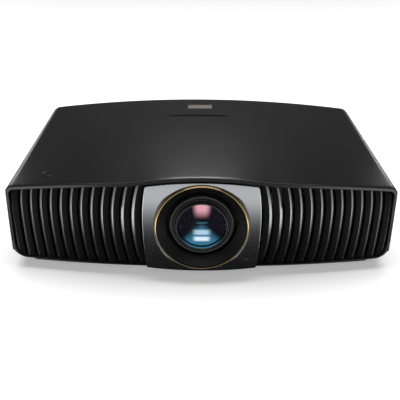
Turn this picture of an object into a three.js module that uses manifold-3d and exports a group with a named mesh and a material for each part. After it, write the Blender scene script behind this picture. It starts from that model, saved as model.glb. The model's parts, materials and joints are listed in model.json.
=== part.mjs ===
// Home cinema projector, built as the separate pieces that it comes apart into on a bench.
// Millimetres, +Z up. The lens looks along -Y. The origin is on the floor under the body's middle.
import * as THREE from "three";
import { mergeVertices } from "three/addons/utils/BufferGeometryUtils.js";
import Module from "manifold-3d";

const wasm = await Module();
wasm.setup();

// ---- Driving dimensions of the housing ----
const width = 528;
const depth = 400;
const height = 160; // floor to the crown of the front lip
const footDrop = 11; // floor to the underside of the plinth
const plinthHeight = 8.5; // the plinth that stands below the shell
const plinthInset = 26; // the plinth's sides, in from the shell's
const plinthSetback = 7; // the plinth's front corners, behind the shell's
const plinthBow = 19;
const wall = 2.5;
const rim = 6; // thickness of the side frame round the fascia
const rimDepth = 14;
const lip = 5.7; // thickness of the cover's front edge
const ledge = 1.4; // thin floor under the fascia
const frontBow = 45; // how far the middle of the front stands ahead of its corners
const rearBow = 15;
const lowerBow = 27; // the same at the foot of the front
const lowerSetback = 2;
const bellyHeight = 95; // where the front stands furthest forward
const frontFall = 27.5; // how far the roof falls to the sides at the front
const rearFall = 12.3;
const rearDrop = 24.5; // how far the crown falls from front to rear
const hump = 6.3; // the swelling of the roof over the lens
const humpHalf = 95;
const humpReach = 0.6; // share of the depth over which the swelling fades
const roofRadius = 15;
const footRadius = 22;
const frontCorner = 8;
const rearCorner = 18;
const partingHeight = 44; // cover and case meet here on the sides
const gap = 0.3; // free play between neighbouring pieces

// ---- Driving dimensions of the front ----
const fasciaSetback = 3; // fascia behind the cover's lip
const topLean = 4; // how far the fascia leans back at its top
const bezelWaist = 77.5; // half the bezel's width at the belly
const bezelTopDraw = 6.5; // how much narrower each side is at the top
const bezelFootDraw = 5;
const bezelThickness = 3;
const bezelRoll = 5; // radius that rolls the bezel under
const finCount = 13;
const finGap = 3;
const finDepth = 12;
const finBevel = 3.5;
const finBowInner = 7.5; // sideways bow of the fin next to the bezel
const finBowOuter = 2;
const ringTopMargin = 6; // ring to the lip above it
const ringFootMargin = 5;
const ringWidth = 1.8;
const ringDepth = 8;
const wellWidth = 12; // ring to the mouth of the well, seen from the front
const wellDepth = 11;
const wellLength = 30;
const shiftRoom = 5; // well to lens barrel, for the lens shift

// ---- Driving dimensions of the lens ----
const barrelWall = 3.5;
const barrelStep = 4.5; // the barrel's rear is slimmer by this radius
const barrelFront = 11; // behind the ring's face
const barrelStepAt = 50;
const barrelLength = 87;
const glassEdge = 5;
const glassSag = 6;
const glassAhead = 4.5; // the glass's edge stands ahead of the barrel's rim
const cellLip = 6;
const cellLand = 1.6; // flat rim round the glass
const gearTeeth = 36;
const pinionTeeth = 12;
const gearFace = 10;
const plateThickness = 5;
const verticalTravel = 3.5;
const sidewaysTravel = 2.4;
const screwRadius = 3;

// ---- Driving dimensions inside ----
const fanDepth = 25;
const fanMargin = 12; // fan to the roof and the floor
const bladeCount = 7;
const footRadiusPad = 14;
const studRadius = 4;
const buttonRadius = 7;

// ---- Worked out from the driving dimensions ----
const half = width / 2;
const front = -depth / 2;
const rear = depth / 2;
const shellFoot = footDrop + plinthHeight;
const plinthHalf = half - plinthInset;

// ======== Solids ========

function solid(geometry) {
  const flat = geometry.index ? geometry.toNonIndexed() : geometry;
  const bare = new THREE.BufferGeometry();
  bare.setAttribute("position", flat.getAttribute("position"));
  const merged = mergeVertices(bare, 1e-4);
  const corners = merged.index.array;
  const kept = [];
  for (let i = 0; i < corners.length; i += 3) {
    const [a, b, c] = corners.slice(i, i + 3);
    if (a !== b && b !== c && c !== a) kept.push(a, b, c);
  }
  return new wasm.Manifold(
    new wasm.Mesh({
      numProp: 3,
      vertProperties: new Float32Array(merged.getAttribute("position").array),
      triVerts: new Uint32Array(kept),
    }),
  );
}

function geometryOf(piece) {
  const made = piece.getMesh();
  const points = new Float32Array(made.numVert * 3);
  for (let i = 0; i < made.numVert; i += 1) {
    const at = i * made.numProp;
    points.set(made.vertProperties.subarray(at, at + 3), i * 3);
  }
  const geometry = new THREE.BufferGeometry();
  geometry.setAttribute("position", new THREE.BufferAttribute(points, 3));
  geometry.setIndex(new THREE.BufferAttribute(new Uint32Array(made.triVerts), 1));
  geometry.computeVertexNormals();
  return geometry;
}

const join = (...pieces) => pieces.reduce((a, b) => a.add(b));
const cut = (piece, ...tools) => tools.reduce((a, b) => a.subtract(b), piece);

function box([x0, x1], [y0, y1], [z0, z1]) {
  const geometry = new THREE.BoxGeometry(x1 - x0, y1 - y0, z1 - z0);
  return solid(geometry.translate((x0 + x1) / 2, (y0 + y1) / 2, (z0 + z1) / 2));
}

// A cylinder along "x", "y" or "z" from one end to the other, on the line through (a, b).
function rod(axis, radius, [start, end], [a, b] = [0, 0], sides = 20) {
  const geometry = new THREE.CylinderGeometry(radius, radius, end - start, sides);
  const middle = (start + end) / 2;
  if (axis === "x") geometry.rotateZ(Math.PI / 2).translate(middle, a, b);
  if (axis === "y") geometry.translate(a, middle, b);
  if (axis === "z") geometry.rotateX(Math.PI / 2).translate(a, b, middle);
  return solid(geometry);
}

// An outline of [x, y] points, extruded from z0 to z1.
function prismZ(points, [z0, z1]) {
  const shape = new THREE.Shape(points.map(([x, y]) => new THREE.Vector2(x, y)));
  const geometry = new THREE.ExtrudeGeometry(shape, { depth: z1 - z0, bevelEnabled: false });
  return solid(geometry.translate(0, 0, z0));
}

// An outline of [x, z] points, extruded from y0 to y1.
function prismY(points, [y0, y1]) {
  const shape = new THREE.Shape(points.map(([x, z]) => new THREE.Vector2(x, z)));
  const geometry = new THREE.ExtrudeGeometry(shape, { depth: y1 - y0, bevelEnabled: false });
  return solid(geometry.rotateX(Math.PI / 2).translate(0, y1, 0));
}

// A closed profile of [radius, y] points, turned about the Y axis.
function turned(profile, sides = 32) {
  const points = profile.map(([r, y]) => new THREE.Vector2(r, y));
  const ordered = THREE.ShapeUtils.isClockWise(points) ? points.reverse() : points;
  if (ordered[0].x > 0 || ordered.at(-1).x > 0) ordered.push(ordered[0].clone());
  return solid(new THREE.LatheGeometry(ordered, sides));
}

// A closed body through outlines that all have the same number of points.
function loft(outlines, capAxes) {
  const count = outlines[0].length;
  const flat = outlines[0].map((p) => new THREE.Vector2(p[capAxes[0]], p[capAxes[1]]));
  const caps = THREE.ShapeUtils.triangulateShape(flat, []);
  const corners = [];
  const add = (...points) => points.forEach((p) => corners.push(p.x, p.y, p.z));
  for (let k = 0; k + 1 < outlines.length; k += 1) {
    for (let i = 0; i < count; i += 1) {
      const j = (i + 1) % count;
      add(outlines[k][i], outlines[k][j], outlines[k + 1][j]);
      add(outlines[k][i], outlines[k + 1][j], outlines[k + 1][i]);
    }
  }
  const turnedRound = THREE.ShapeUtils.isClockWise(flat);
  for (const [a, b, c] of caps) {
    const [p, q] = turnedRound ? [b, c] : [c, b];
    add(outlines[0][a], outlines[0][p], outlines[0][q]);
    add(outlines.at(-1)[a], outlines.at(-1)[q], outlines.at(-1)[p]);
  }
  const geometry = new THREE.BufferGeometry();
  geometry.setAttribute("position", new THREE.Float32BufferAttribute(corners, 3));
  const made = solid(geometry);
  if (made.volume() > 0) return made;
  for (let i = 0; i < corners.length; i += 9) {
    for (let k = 0; k < 3; k += 1) {
      [corners[i + 3 + k], corners[i + 6 + k]] = [corners[i + 6 + k], corners[i + 3 + k]];
    }
  }
  geometry.setAttribute("position", new THREE.Float32BufferAttribute(corners, 3));
  return solid(geometry);
}

// ======== The housing's curves ========

const share = (value, from, to) => (value - from) / (to - from);
const mix = (a, b, t) => a + (b - a) * t;
const frontEdge = (x) => front + frontBow * (x / half) ** 2;
const rearEdge = (x) => rear - rearBow * (x / half) ** 2;
const lowerEdge = (x) => frontEdge(half) + lowerSetback - lowerBow * (1 - (x / half) ** 2);
const plinthEdge = (x) => frontEdge(half) + plinthSetback - plinthBow * (1 - (x / plinthHalf) ** 2);

// How much the roof swells over the lens: 1 on the centre line of the front lip, 0 outside.
function swelling(x, along) {
  const across = (1 - Math.min(1, Math.abs(x) / humpHalf) ** 2) ** 1.2;
  const fade = 1 - Math.min(1, Math.max(0, along / humpReach));
  return across * fade ** 2;
}

function roof(x, y) {
  const q = (x / half) ** 2;
  const along = share(y, frontEdge(x), rearEdge(x));
  const crown = mix(height - hump - frontFall * q, height - rearDrop - rearFall * q, along);
  return crown + hump * swelling(x, along);
}

// 0 from the belly up, growing to 1 at the foot of the front.
const tuck = (z) => Math.max(0, share(z, bellyHeight, shellFoot)) ** 2;

// A curve v(x), symmetric about x = 0, whose corner with the wall at x = side is rounded.
function rounded(curve, side, radius, outward) {
  const slope = (x) => (curve(x + 0.01) - curve(x - 0.01)) / 0.02;
  let touch = side - radius;
  for (let i = 0; i < 8; i += 1) {
    const s = slope(touch);
    touch = side - radius - (radius * outward * s) / Math.hypot(1, s);
  }
  const centre = curve(touch) - (radius * outward) / Math.hypot(1, slope(touch));
  const reach = Math.acos((touch - side + radius) / radius);
  const at = (x) => {
    const a = Math.min(Math.abs(x), side);
    if (a <= touch) return curve(a);
    return centre + outward * Math.sqrt(Math.max(0, radius ** 2 - (a - side + radius) ** 2));
  };
  return { at, touch, centre, reach };
}

// The housing's section across its width at y, drawn in by the given amounts.
function section(y, { side = 0, top = 0, foot = 0 }) {
  const wallAt = half - side;
  const topRadius = roofRadius - Math.min(side, roofRadius / 2);
  const lowRadius = footRadius - side;
  const arch = rounded((x) => roof(x, y) - top, wallAt, topRadius, 1);
  const low = shellFoot + foot;
  const right = [[wallAt - lowRadius, low]];
  for (let k = 1; k <= 3; k += 1) {
    const a = (k * Math.PI) / 6;
    right.push([
      wallAt - lowRadius + lowRadius * Math.sin(a),
      low + lowRadius - lowRadius * Math.cos(a),
    ]);
  }
  for (let k = 0; k <= 3; k += 1) {
    const a = (arch.reach * k) / 3;
    right.push([
      wallAt - topRadius + topRadius * Math.cos(a),
      arch.centre + topRadius * Math.sin(a),
    ]);
  }
  const spans = 7;
  for (let k = 1; k < spans; k += 1) {
    const x = arch.touch * (1 - k / spans);
    right.push([x, roof(x, y) - top]);
  }
  const left = right.map(([x, z]) => [-x, z]).reverse();
  return [...right, [0, roof(0, y) - top], ...left].map(([x, z]) => new THREE.Vector3(x, y, z));
}

// The housing's section, run along the depth.
function sectionRun(drawIn, [y0, y1]) {
  const stops = [y0];
  for (const s of [0, 0.16, 0.34, humpReach]) {
    const y = mix(front, rear, s);
    if (y > y0 + 1 && y < y1 - 1) stops.push(y);
  }
  stops.push(y1);
  return loft(stops.map((y) => section(y, drawIn)), ["x", "z"]);
}

// Everything between the housing's front surface and its rear edge, seen from above.
function planBody({ side = 0, frontIn = 0, rearIn = 0 }) {
  const wallAt = half - side;
  const upper = rounded((x) => frontEdge(x) + frontIn, wallAt, frontCorner, -1);
  const lower = rounded((x) => lowerEdge(x) + frontIn, wallAt, frontCorner, -1);
  const back = rounded((x) => rearEdge(x) - rearIn, wallAt, rearCorner, 1);
  const stops = [];
  for (let k = 0; k <= 6; k += 1) stops.push((back.touch * k) / 6);
  for (const a of [0.5, 0.9]) stops.push(wallAt - rearCorner + rearCorner * Math.sin(a));
  stops.push(upper.touch, wallAt - frontCorner * 0.2, wallAt);
  stops.sort((a, b) => a - b);
  const levels = [0, shellFoot, 38, 62, bellyHeight, height + 20];
  const outlineAt = (x) => [
    ...levels.map((z) => {
      const low = Math.max(z, shellFoot);
      return new THREE.Vector3(x, mix(upper.at(x), lower.at(x), tuck(low)), z);
    }),
    new THREE.Vector3(x, back.at(x), height + 20),
    new THREE.Vector3(x, back.at(x), 0),
  ];
  const all = [...stops.slice(1).reverse().map((x) => -x), ...stops];
  return loft(all.map(outlineAt), ["y", "z"]);
}

const fasciaRange = [front - 10, frontEdge(half) + rimDepth + 6];
const fasciaInset = { side: rim, top: lip, foot: ledge };
const openEnds = [front - 10, rear + 10];

function shell() {
  const outer = sectionRun({}, openEnds).intersect(planBody({}));
  const cavity = sectionRun({ side: wall, top: wall, foot: wall }, openEnds);
  const behindRim = planBody({ side: -20, frontIn: rimDepth, rearIn: -30 });
  return cut(outer, cavity.intersect(behindRim), sectionRun(fasciaInset, fasciaRange));
}

// ======== Materials ========

const finish = (color, roughness, metalness) =>
  new THREE.MeshStandardMaterial({ color, roughness, metalness });

const satinBlack = finish(0x17171a, 0.42, 0);
const caseBlack = finish(0x121214, 0.6, 0);
const finBlack = finish(0x1b1b1e, 0.45, 0);
const gunmetal = finish(0x5d5f64, 0.35, 0.9);
const gold = finish(0xd9b45f, 0.25, 1);
const wellBlack = finish(0x0b0b0c, 0.55, 0);
const barrelBlack = finish(0x141416, 0.4, 0);
const glass = finish(0x203038, 0.05, 0);
const gloss = finish(0x050506, 0.08, 0);
const steel = finish(0x9a9ca0, 0.35, 1);
const aluminium = finish(0xb5b7ba, 0.4, 1);
const board = finish(0x0f5a35, 0.5, 0);
const rubber = finish(0x151515, 0.85, 0);
const filterGrey = finish(0x4a4d50, 0.95, 0);
const gearWhite = finish(0xd8d6cc, 0.5, 0);

const projector = new THREE.Group();

function place(name, piece, material, parent = projector) {
  const mesh = new THREE.Mesh(geometryOf(piece), material);
  mesh.name = name;
  parent.add(mesh);
  return mesh;
}

function groupAt(x, y, z, parent = projector) {
  const group = new THREE.Group();
  group.position.set(x, y, z);
  parent.add(group);
  return group;
}

// ======== Places shared by neighbouring pieces ========

const plinthBack = rearEdge(half) - 9;
const footPlaces = [
  [-(half - 41), plinthEdge(plinthHalf) + 30],
  [half - 41, plinthEdge(plinthHalf) + 30],
  [-(half - 41), plinthBack - 26],
  [half - 41, plinthBack - 26],
];
const screwPlaces = [
  [-(half - 38), frontEdge(half) + 65],
  [half - 38, frontEdge(half) + 65],
  [-(half - 38), rearEdge(half) - 65],
  [half - 38, rearEdge(half) - 65],
];
const ceilingPlaces = [
  [-110, -62],
  [110, -62],
  [-110, 64],
  [110, 64],
];
const innerFloor = footDrop + wall;
const buttonPlace = [-(half - 58.5), frontEdge(half) + 21];
const panelFace = rearEdge(half) - 2;

// ---- Roof inlays: slabs that follow the roof, in pockets of the same outline ----
const inlayPocket = 0.8;

function roofSlab([x0, x1], [y0, y1], [low, high]) {
  const outlineAt = (x) => [
    new THREE.Vector3(x, y0, roof(x, y0) + low),
    new THREE.Vector3(x, y1, roof(x, y1) + low),
    new THREE.Vector3(x, y1, roof(x, y1) + high),
    new THREE.Vector3(x, y0, roof(x, y0) + high),
  ];
  const xs = [0, 0.25, 0.5, 0.75, 1].map((t) => mix(x0, x1, t));
  return loft(xs.map(outlineAt), ["y", "z"]);
}

const inlays = {
  badge_plate: { x: [-22.5, 19.5], y: [140, 164], material: gold },
  nameplate: { x: [-52, 44], y: [92, 106], material: gloss },
  indicator_window: {
    x: [buttonPlace[0] - 17, buttonPlace[0] + 20],
    y: [buttonPlace[1] + 22, buttonPlace[1] + 26],
    material: gloss,
  },
};

// ======== Housing pieces ========

function screwPost([x, y]) {
  const post = rod("z", 5, [shellFoot + 9, height], [x, y], 12);
  return cut(post, rod("z", 1.7, [0, shellFoot + 25], [x, y], 8));
}

function topCover() {
  const above = box([-width, width], [-depth, depth], [partingHeight + gap / 2, height + 30]);
  const underRoof = sectionRun({ side: wall / 2, top: wall / 2, foot: 0 }, openEnds);
  let cover = shell().intersect(above);
  for (const spot of screwPlaces) cover = cover.add(screwPost(spot).intersect(underRoof));
  for (const { x, y } of Object.values(inlays)) {
    const wide = [x[0] - gap, x[1] + gap];
    const deep = [y[0] - gap, y[1] + gap];
    cover = cover.subtract(roofSlab(wide, deep, [-inlayPocket, 5]));
  }
  const seat = buttonRadius + 2 * gap + 1.5;
  return cut(cover, rod("z", seat, [height / 2, height], buttonPlace, 24));
}

function plinthOutline(inset) {
  const sideAt = plinthHalf - inset;
  const ahead = rounded((x) => plinthEdge(x) + inset, sideAt, 10 - inset, -1);
  const points = [];
  for (let k = -5; k <= 5; k += 1) points.push([(ahead.touch * k) / 5, 0]);
  for (const x of [sideAt - 1.5, sideAt]) {
    points.push([x, 0]);
    points.unshift([-x, 0]);
  }
  const facing = points.map(([x]) => [x, ahead.at(x)]);
  const back = plinthBack - inset;
  return [...facing, [sideAt, back - 8], [sideAt - 8, back], [8 - sideAt, back], [-sideAt, back - 8]];
}

function bottomCase() {
  const below = box([-width, width], [-depth, depth], [0, partingHeight - gap / 2]);
  const plinth = prismZ(plinthOutline(0), [footDrop, shellFoot + wall / 2]);
  const hollow = prismZ(plinthOutline(wall), [innerFloor, shellFoot + 2 * wall]);
  let tray = cut(join(shell().intersect(below), plinth), hollow);
  for (const [x, y] of footPlaces) {
    tray = tray.add(rod("z", 7, [innerFloor - 1, innerFloor + 22], [x, y], 16));
    tray = tray.subtract(rod("z", studRadius + gap, [0, innerFloor + 30], [x, y], 16));
  }
  for (const spot of screwPlaces) {
    tray = tray.add(rod("z", 6, [innerFloor - 1, shellFoot + 9 - gap], spot, 14));
    tray = tray.subtract(rod("z", 3.4, [0, shellFoot + 4], spot, 12));
    tray = tray.subtract(rod("z", 1.9, [0, shellFoot + 12], spot, 8));
  }
  for (const spot of ceilingPlaces) {
    tray = tray.add(rod("z", 8, [footDrop - 1, innerFloor + 9], spot, 16));
    tray = tray.subtract(rod("z", 2.2, [0, innerFloor + 6], spot, 10));
  }
  return tray;
}

// The space that the fascia pieces fill, less the play round them.
const fasciaSpace = () =>
  sectionRun({ side: rim + gap, top: lip + gap, foot: ledge + gap }, fasciaRange);

const fasciaTop = (x) => roof(x, frontEdge(x)) - lip;
// 0 up to the belly, growing to 1 where the fascia meets the lip.
const lean = (x, z) => Math.min(1, Math.max(0, share(z, bellyHeight, fasciaTop(x)))) ** 2;
const fasciaY = (x, z) =>
  mix(frontEdge(x), lowerEdge(x), tuck(z)) + fasciaSetback + topLean * lean(x, z);

// Half the bezel's width at a height: widest at the belly, drawn in above and below.
function bezelHalf(z) {
  return bezelWaist - bezelTopDraw * lean(0, z) - bezelFootDraw * tuck(z);
}

function grille(side) {
  const outermost = half - rim - gap;
  const pitch = (outermost - bezelWaist) / finCount;
  const foot = shellFoot + ledge;
  const levels = [foot, 52, bellyHeight, mix(bellyHeight, height, 0.45), height];
  const fin = (i) => {
    const bow = mix(finBowInner, finBowOuter, i / (finCount - 1));
    const middle = bezelWaist + (i + 0.5) * pitch;
    return loft(
      levels.map((z) => {
        const shift = bow * Math.max(lean(middle, z), tuck(z));
        const inner = bezelWaist + finGap + i * pitch - shift;
        const outer = bezelWaist + (i + 1) * pitch - shift;
        const back = fasciaY(middle, z) + finDepth;
        return [
          [inner, back],
          [inner, fasciaY(inner, z)],
          [outer - finBevel, fasciaY(outer - finBevel, z)],
          [outer, fasciaY(outer, z) + finBevel],
          [outer, back],
        ].map(([x, y]) => new THREE.Vector3(side * x, y, z));
      }),
      ["x", "y"],
    );
  };
  const rail = (low, high) => {
    const xs = [0, 0.25, 0.5, 0.75, 1].map((t) => mix(bezelWaist - 2, outermost, t));
    return loft(
      xs.map((x) => {
        const y = fasciaY(x, (low(x) + high(x)) / 2) + finDepth;
        return [
          [y - 4, low(x)],
          [y, low(x)],
          [y, high(x)],
          [y - 4, high(x)],
        ].map(([at, z]) => new THREE.Vector3(side * x, at, z));
      }),
      ["y", "z"],
    );
  };
  let made = rail(() => foot, () => foot + 6);
  made = made.add(rail((x) => fasciaTop(x) - 8, (x) => fasciaTop(x) + 2));
  made = made.add(rail(() => bellyHeight - 25, () => bellyHeight - 20));
  for (let i = 0; i < finCount; i += 1) made = made.add(fin(i));
  return made.intersect(fasciaSpace());
}

// ---- The lens's place and radii, fitted between the lip and the foot of the bezel ----
const bezelFoot = shellFoot + ledge + gap;
const ringRadius = (fasciaTop(0) - bezelFoot - ringTopMargin - ringFootMargin) / 2;
const lensHeight = bezelFoot + ringFootMargin + ringRadius;
const wellMouth = ringRadius - ringWidth - gap;
const wellRadius = wellMouth - wellWidth;
const barrelRadius = wellRadius - shiftRoom;
const slimRadius = barrelRadius - barrelStep;
const cellRadius = barrelRadius - barrelWall - gap;
const glassRadius = cellRadius - cellLip;
const gearPitch = slimRadius + 7;
const toothModule = (2 * gearPitch) / gearTeeth;
const pinionPitch = (toothModule * pinionTeeth) / 2;
const pinionDistance = gearPitch + pinionPitch;
const gearFrom = barrelStepAt + 2;
const mountFrom = gearFrom + gearFace + 4;
const verticalFrom = mountFrom + plateThickness + 1;
const sidewaysFrom = verticalFrom + plateThickness + 0.6;

function bezel() {
  const lift = fasciaTop(0);
  const setback = fasciaSetback - 1;
  const bulge = (z) => 1.5 * lean(0, z) + 3 * tuck(z);
  // The profile from the top down, as [setback, height, normal's y, normal's z].
  const upper = [lift + 6, mix(bellyHeight, lift, 0.8), mix(bellyHeight, lift, 0.45), bellyHeight];
  const stations = [...upper, 70, 45, bezelFoot + bezelRoll];
  const profile = stations.map((z) => [setback + bulge(z), z, -1, 0]);
  const rollFrom = profile.at(-1)[0];
  for (let k = 1; k <= 4; k += 1) {
    const a = (k * Math.PI) / 8;
    const back = bezelRoll * (1 - Math.cos(a));
    const drop = bezelRoll * (1 - Math.sin(a));
    profile.push([rollFrom + back, bezelFoot + drop, -Math.cos(a), -Math.sin(a)]);
  }
  profile.push([rollFrom + bezelRoll + 6, bezelFoot, 0, -1]);
  const outlineAt = (x) => {
    const arc = front + frontBow * (x / half) ** 2;
    const ahead = profile.map(([y, z]) => new THREE.Vector3(x, arc + y, z));
    const behind = profile.map(
      ([y, z, ny, nz]) =>
        new THREE.Vector3(x, arc + y - ny * bezelThickness, z - nz * bezelThickness),
    );
    return [...ahead, ...behind.reverse()];
  };
  const xs = [];
  for (let k = -6; k <= 6; k += 1) xs.push((k * (bezelWaist + 1)) / 6);
  const plate = loft(xs.map(outlineAt), ["y", "z"]);
  const steps = [0.35, 0.7, 1].map((t) => mix(bellyHeight, lift + 8, t));
  const levels = [bezelFoot - 2, 35, 50, 70, bellyHeight, ...steps];
  const right = levels.map((z) => [bezelHalf(z), z]);
  const outline = [...right, ...right.map(([x, z]) => [-x, z]).reverse()];
  const face = prismY(outline, [front - 10, front + 40]);
  const hole = rod("y", ringRadius + gap, [front - 10, front + 30], [0, lensHeight], 48);
  return cut(plate.intersect(face).intersect(fasciaSpace()), hole);
}

function irWindow() {
  return rod("y", 4, [0, 2.4], [0, 0], 20);
}

// ======== Housing ========

place("top_cover", topCover(), satinBlack);
place("bottom_case", bottomCase(), caseBlack);
place("left_grille", grille(-1), finBlack);
place("right_grille", grille(1), finBlack);
for (const [name, { x, y, material }] of Object.entries(inlays)) {
  place(name, roofSlab(x, y, [gap - inlayPocket, 0.2]), material);
}

const irPlace = [58, 38];
const irSeat = frontEdge(irPlace[0]) + fasciaSetback - 1 + 3 * tuck(irPlace[1]);
const irPocket = rod("y", 4 + gap, [front - 10, front + 30], irPlace, 20);
place("lens_bezel", cut(bezel(), irPocket), gunmetal);
place("ir_window", irWindow(), gloss, groupAt(irPlace[0], irSeat - 0.2, irPlace[1]));

// ---- Power button in its ring ----
const buttonRoof = roof(...buttonPlace);
const buttonGroup = groupAt(...buttonPlace, buttonRoof);
const seatTop = 0.9;
const trimRing = cut(
  rod("z", buttonRadius + gap + 1.5, [-5, seatTop], [0, 0], 24),
  rod("z", buttonRadius + gap, [-8, 5], [0, 0], 24),
);
place("button_trim_ring", trimRing, gloss, buttonGroup);
const buttonCap = join(
  rod("z", buttonRadius, [-2.5, seatTop - 0.2], [0, 0], 24),
  rod("z", 2.5, [-9, -2.4], [0, 0], 12),
);
place("power_button", buttonCap, satinBlack, buttonGroup);

// ======== Lens ========
// Everything here is placed from the ring's front face, on the lens's own axis.
const lens = groupAt(0, front, lensHeight);

const ringProfile = [
  [ringRadius - 0.6, 0],
  [ringRadius, 0.6],
  [ringRadius, ringDepth],
  [ringRadius - ringWidth, ringDepth],
  [ringRadius - ringWidth, 0.8],
];
place("lens_trim_ring", turned(ringProfile, 48), gold, lens);

const wellProfile = [
  [wellMouth, 2.5],
  [wellMouth, 6],
  [wellRadius + 2, wellDepth + 5],
  [wellRadius + 2, wellLength],
  [wellRadius, wellLength],
  [wellRadius, wellDepth + 2.5],
  [wellMouth - 0.6, 2.5],
];
place("lens_well", turned(wellProfile, 40), wellBlack, lens);

const barrelEnd = barrelFront + barrelLength;
const barrelBore = barrelRadius - barrelWall;
const slimBore = slimRadius - 5;
const barrelProfile = [
  [barrelBore, barrelFront],
  [barrelRadius - 0.8, barrelFront],
  [barrelRadius, barrelFront + 0.8],
  [barrelRadius, barrelStepAt],
  [slimRadius, barrelStepAt],
  [slimRadius, sidewaysFrom + plateThickness + gap],
  [slimRadius + 3, sidewaysFrom + plateThickness + gap],
  [slimRadius + 3, sidewaysFrom + plateThickness + 3],
  [slimRadius, sidewaysFrom + plateThickness + 3],
  [slimRadius, barrelEnd],
  [slimBore, barrelEnd],
  [slimBore, barrelStepAt - 2],
  [barrelBore, barrelStepAt - 2],
];
place("lens_barrel", turned(barrelProfile), barrelBlack, lens);

// The cell ends in a short cone that holds the glass out ahead of the barrel.
const glassSeat = barrelFront - glassAhead;
const cellFront = glassSeat - 1.2;
const cellProfile = [
  [glassRadius + cellLand, cellFront],
  [cellRadius, barrelFront + 1],
  [cellRadius, barrelStepAt - 12],
  [cellRadius - 2.5, barrelStepAt - 12],
  [cellRadius - 2.5, glassSeat + glassEdge + 1],
  [glassRadius + gap, glassSeat + glassEdge + 1],
  [glassRadius + gap, cellFront],
];
place("front_lens_cell", turned(cellProfile), barrelBlack, lens);

// A lens of one dome, one flat side and a ground edge.
function dome(radius, edgeFrom, edge, sag, ahead) {
  const ball = (radius ** 2 + sag ** 2) / (2 * sag);
  const spread = Math.asin(radius / ball);
  const profile = [];
  const face = ahead < 0 ? edgeFrom : edgeFrom + edge;
  for (let k = 0; k <= 4; k += 1) {
    const a = (spread * k) / 4;
    profile.push([ball * Math.sin(a), face + ahead * (sag - ball * (1 - Math.cos(a)))]);
  }
  const flat = ahead < 0 ? edgeFrom + edge : edgeFrom;
  return turned([...profile, [radius, flat], [0, flat]], 28);
}
place("front_lens", dome(glassRadius, glassSeat, glassEdge, glassSag, -1), glass, lens);
place("rear_lens", dome(slimBore - gap, barrelEnd - 16, 4, 6, 1), glass, lens);

// ---- Focus gears ----
function gear(teeth, pitch, bore, [from, to], turn) {
  const step = (2 * Math.PI) / teeth;
  const rootRadius = pitch - 1.15 * toothModule;
  const tipRadius = pitch + 0.8 * toothModule;
  const outline = [];
  for (let k = 0; k < teeth; k += 1) {
    const a = turn + k * step;
    for (const [r, s] of [
      [rootRadius, -0.3],
      [tipRadius, -0.11],
      [tipRadius, 0.11],
      [rootRadius, 0.3],
    ]) {
      outline.push([r * Math.cos(a + s * step), r * Math.sin(a + s * step)]);
    }
  }
  return cut(prismY(outline, [from, to]), rod("y", bore, [from - 1, to + 1], [0, 0], 28));
}
const pinionAngle = (200 * Math.PI) / 180;
const pinionPlace = [pinionDistance * Math.cos(pinionAngle), pinionDistance * Math.sin(pinionAngle)];
const gearSpan = [gearFrom, gearFrom + gearFace];
const ringGear = gear(gearTeeth, gearPitch, slimRadius + gap, gearSpan, pinionAngle);
place("focus_ring", ringGear, gearWhite, lens);
const pinionTurn = pinionAngle + Math.PI + Math.PI / pinionTeeth;
const pinionGroup = groupAt(pinionPlace[0], 0, pinionPlace[1], lens);
const pinion = gear(pinionTeeth, pinionPitch, 2.3, gearSpan, pinionTurn);
place("focus_pinion", pinion, gearWhite, pinionGroup);
const focusMotor = join(
  rod("y", 9, [wellLength + 3, barrelStepAt - 0.5], [0, 0], 20),
  rod("y", 2, [barrelStepAt - 1, gearFrom + gearFace], [0, 0], 10),
);
place("focus_motor", focusMotor, steel, pinionGroup);

// ---- Lens-shift plates ----
const verticalHole = slimRadius + sidewaysTravel + 1.6;
const mountHole = slimRadius + Math.hypot(verticalTravel, sidewaysTravel) + 1.8;
const screwX = slimRadius + 28; // the upright screw
const screwY = verticalFrom + plateThickness + 0.9;
const crossY = sidewaysFrom + plateThickness + 6.8; // the level screw
const crossZ = slimRadius + 8;
const plateHalfX = screwX - 6;
const lugReach = slimRadius + 8.5; // outer ends of the upright screw's bearings
const sidewaysHalf = slimRadius + 3.5;
const mountFoot = -(slimRadius + 24);
const mountTop = slimRadius + 20;
const postPlaces = [
  [-(plateHalfX + 6), slimRadius + 12.5],
  [-(plateHalfX + 6), -(slimRadius + 12.5)],
  [slimRadius + 8, mountFoot + 5],
];
const engineFrom = barrelEnd + 6;

function lensMount() {
  const span = [mountFrom, mountFrom + plateThickness];
  let made = box([-(plateHalfX + 12), plateHalfX + 12], span, [mountFoot, mountTop]);
  made = cut(made, rod("y", mountHole, [mountFrom - 1, mountFrom + 9], [0, 0], 32));
  for (const low of [-lugReach, lugReach - 8]) {
    const lug = box([screwX - 5, screwX + 6], [mountFrom + 1, screwY + 4], [low, low + 8]);
    made = cut(made.add(lug), rod("z", screwRadius + gap, [low - 1, low + 9], [screwX, screwY], 12));
  }
  for (const spot of postPlaces) {
    made = made.add(rod("y", 4, [mountFrom + 1, engineFrom - gap], spot, 10));
  }
  return made;
}
place("lens_mount", lensMount(), aluminium, lens);

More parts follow.
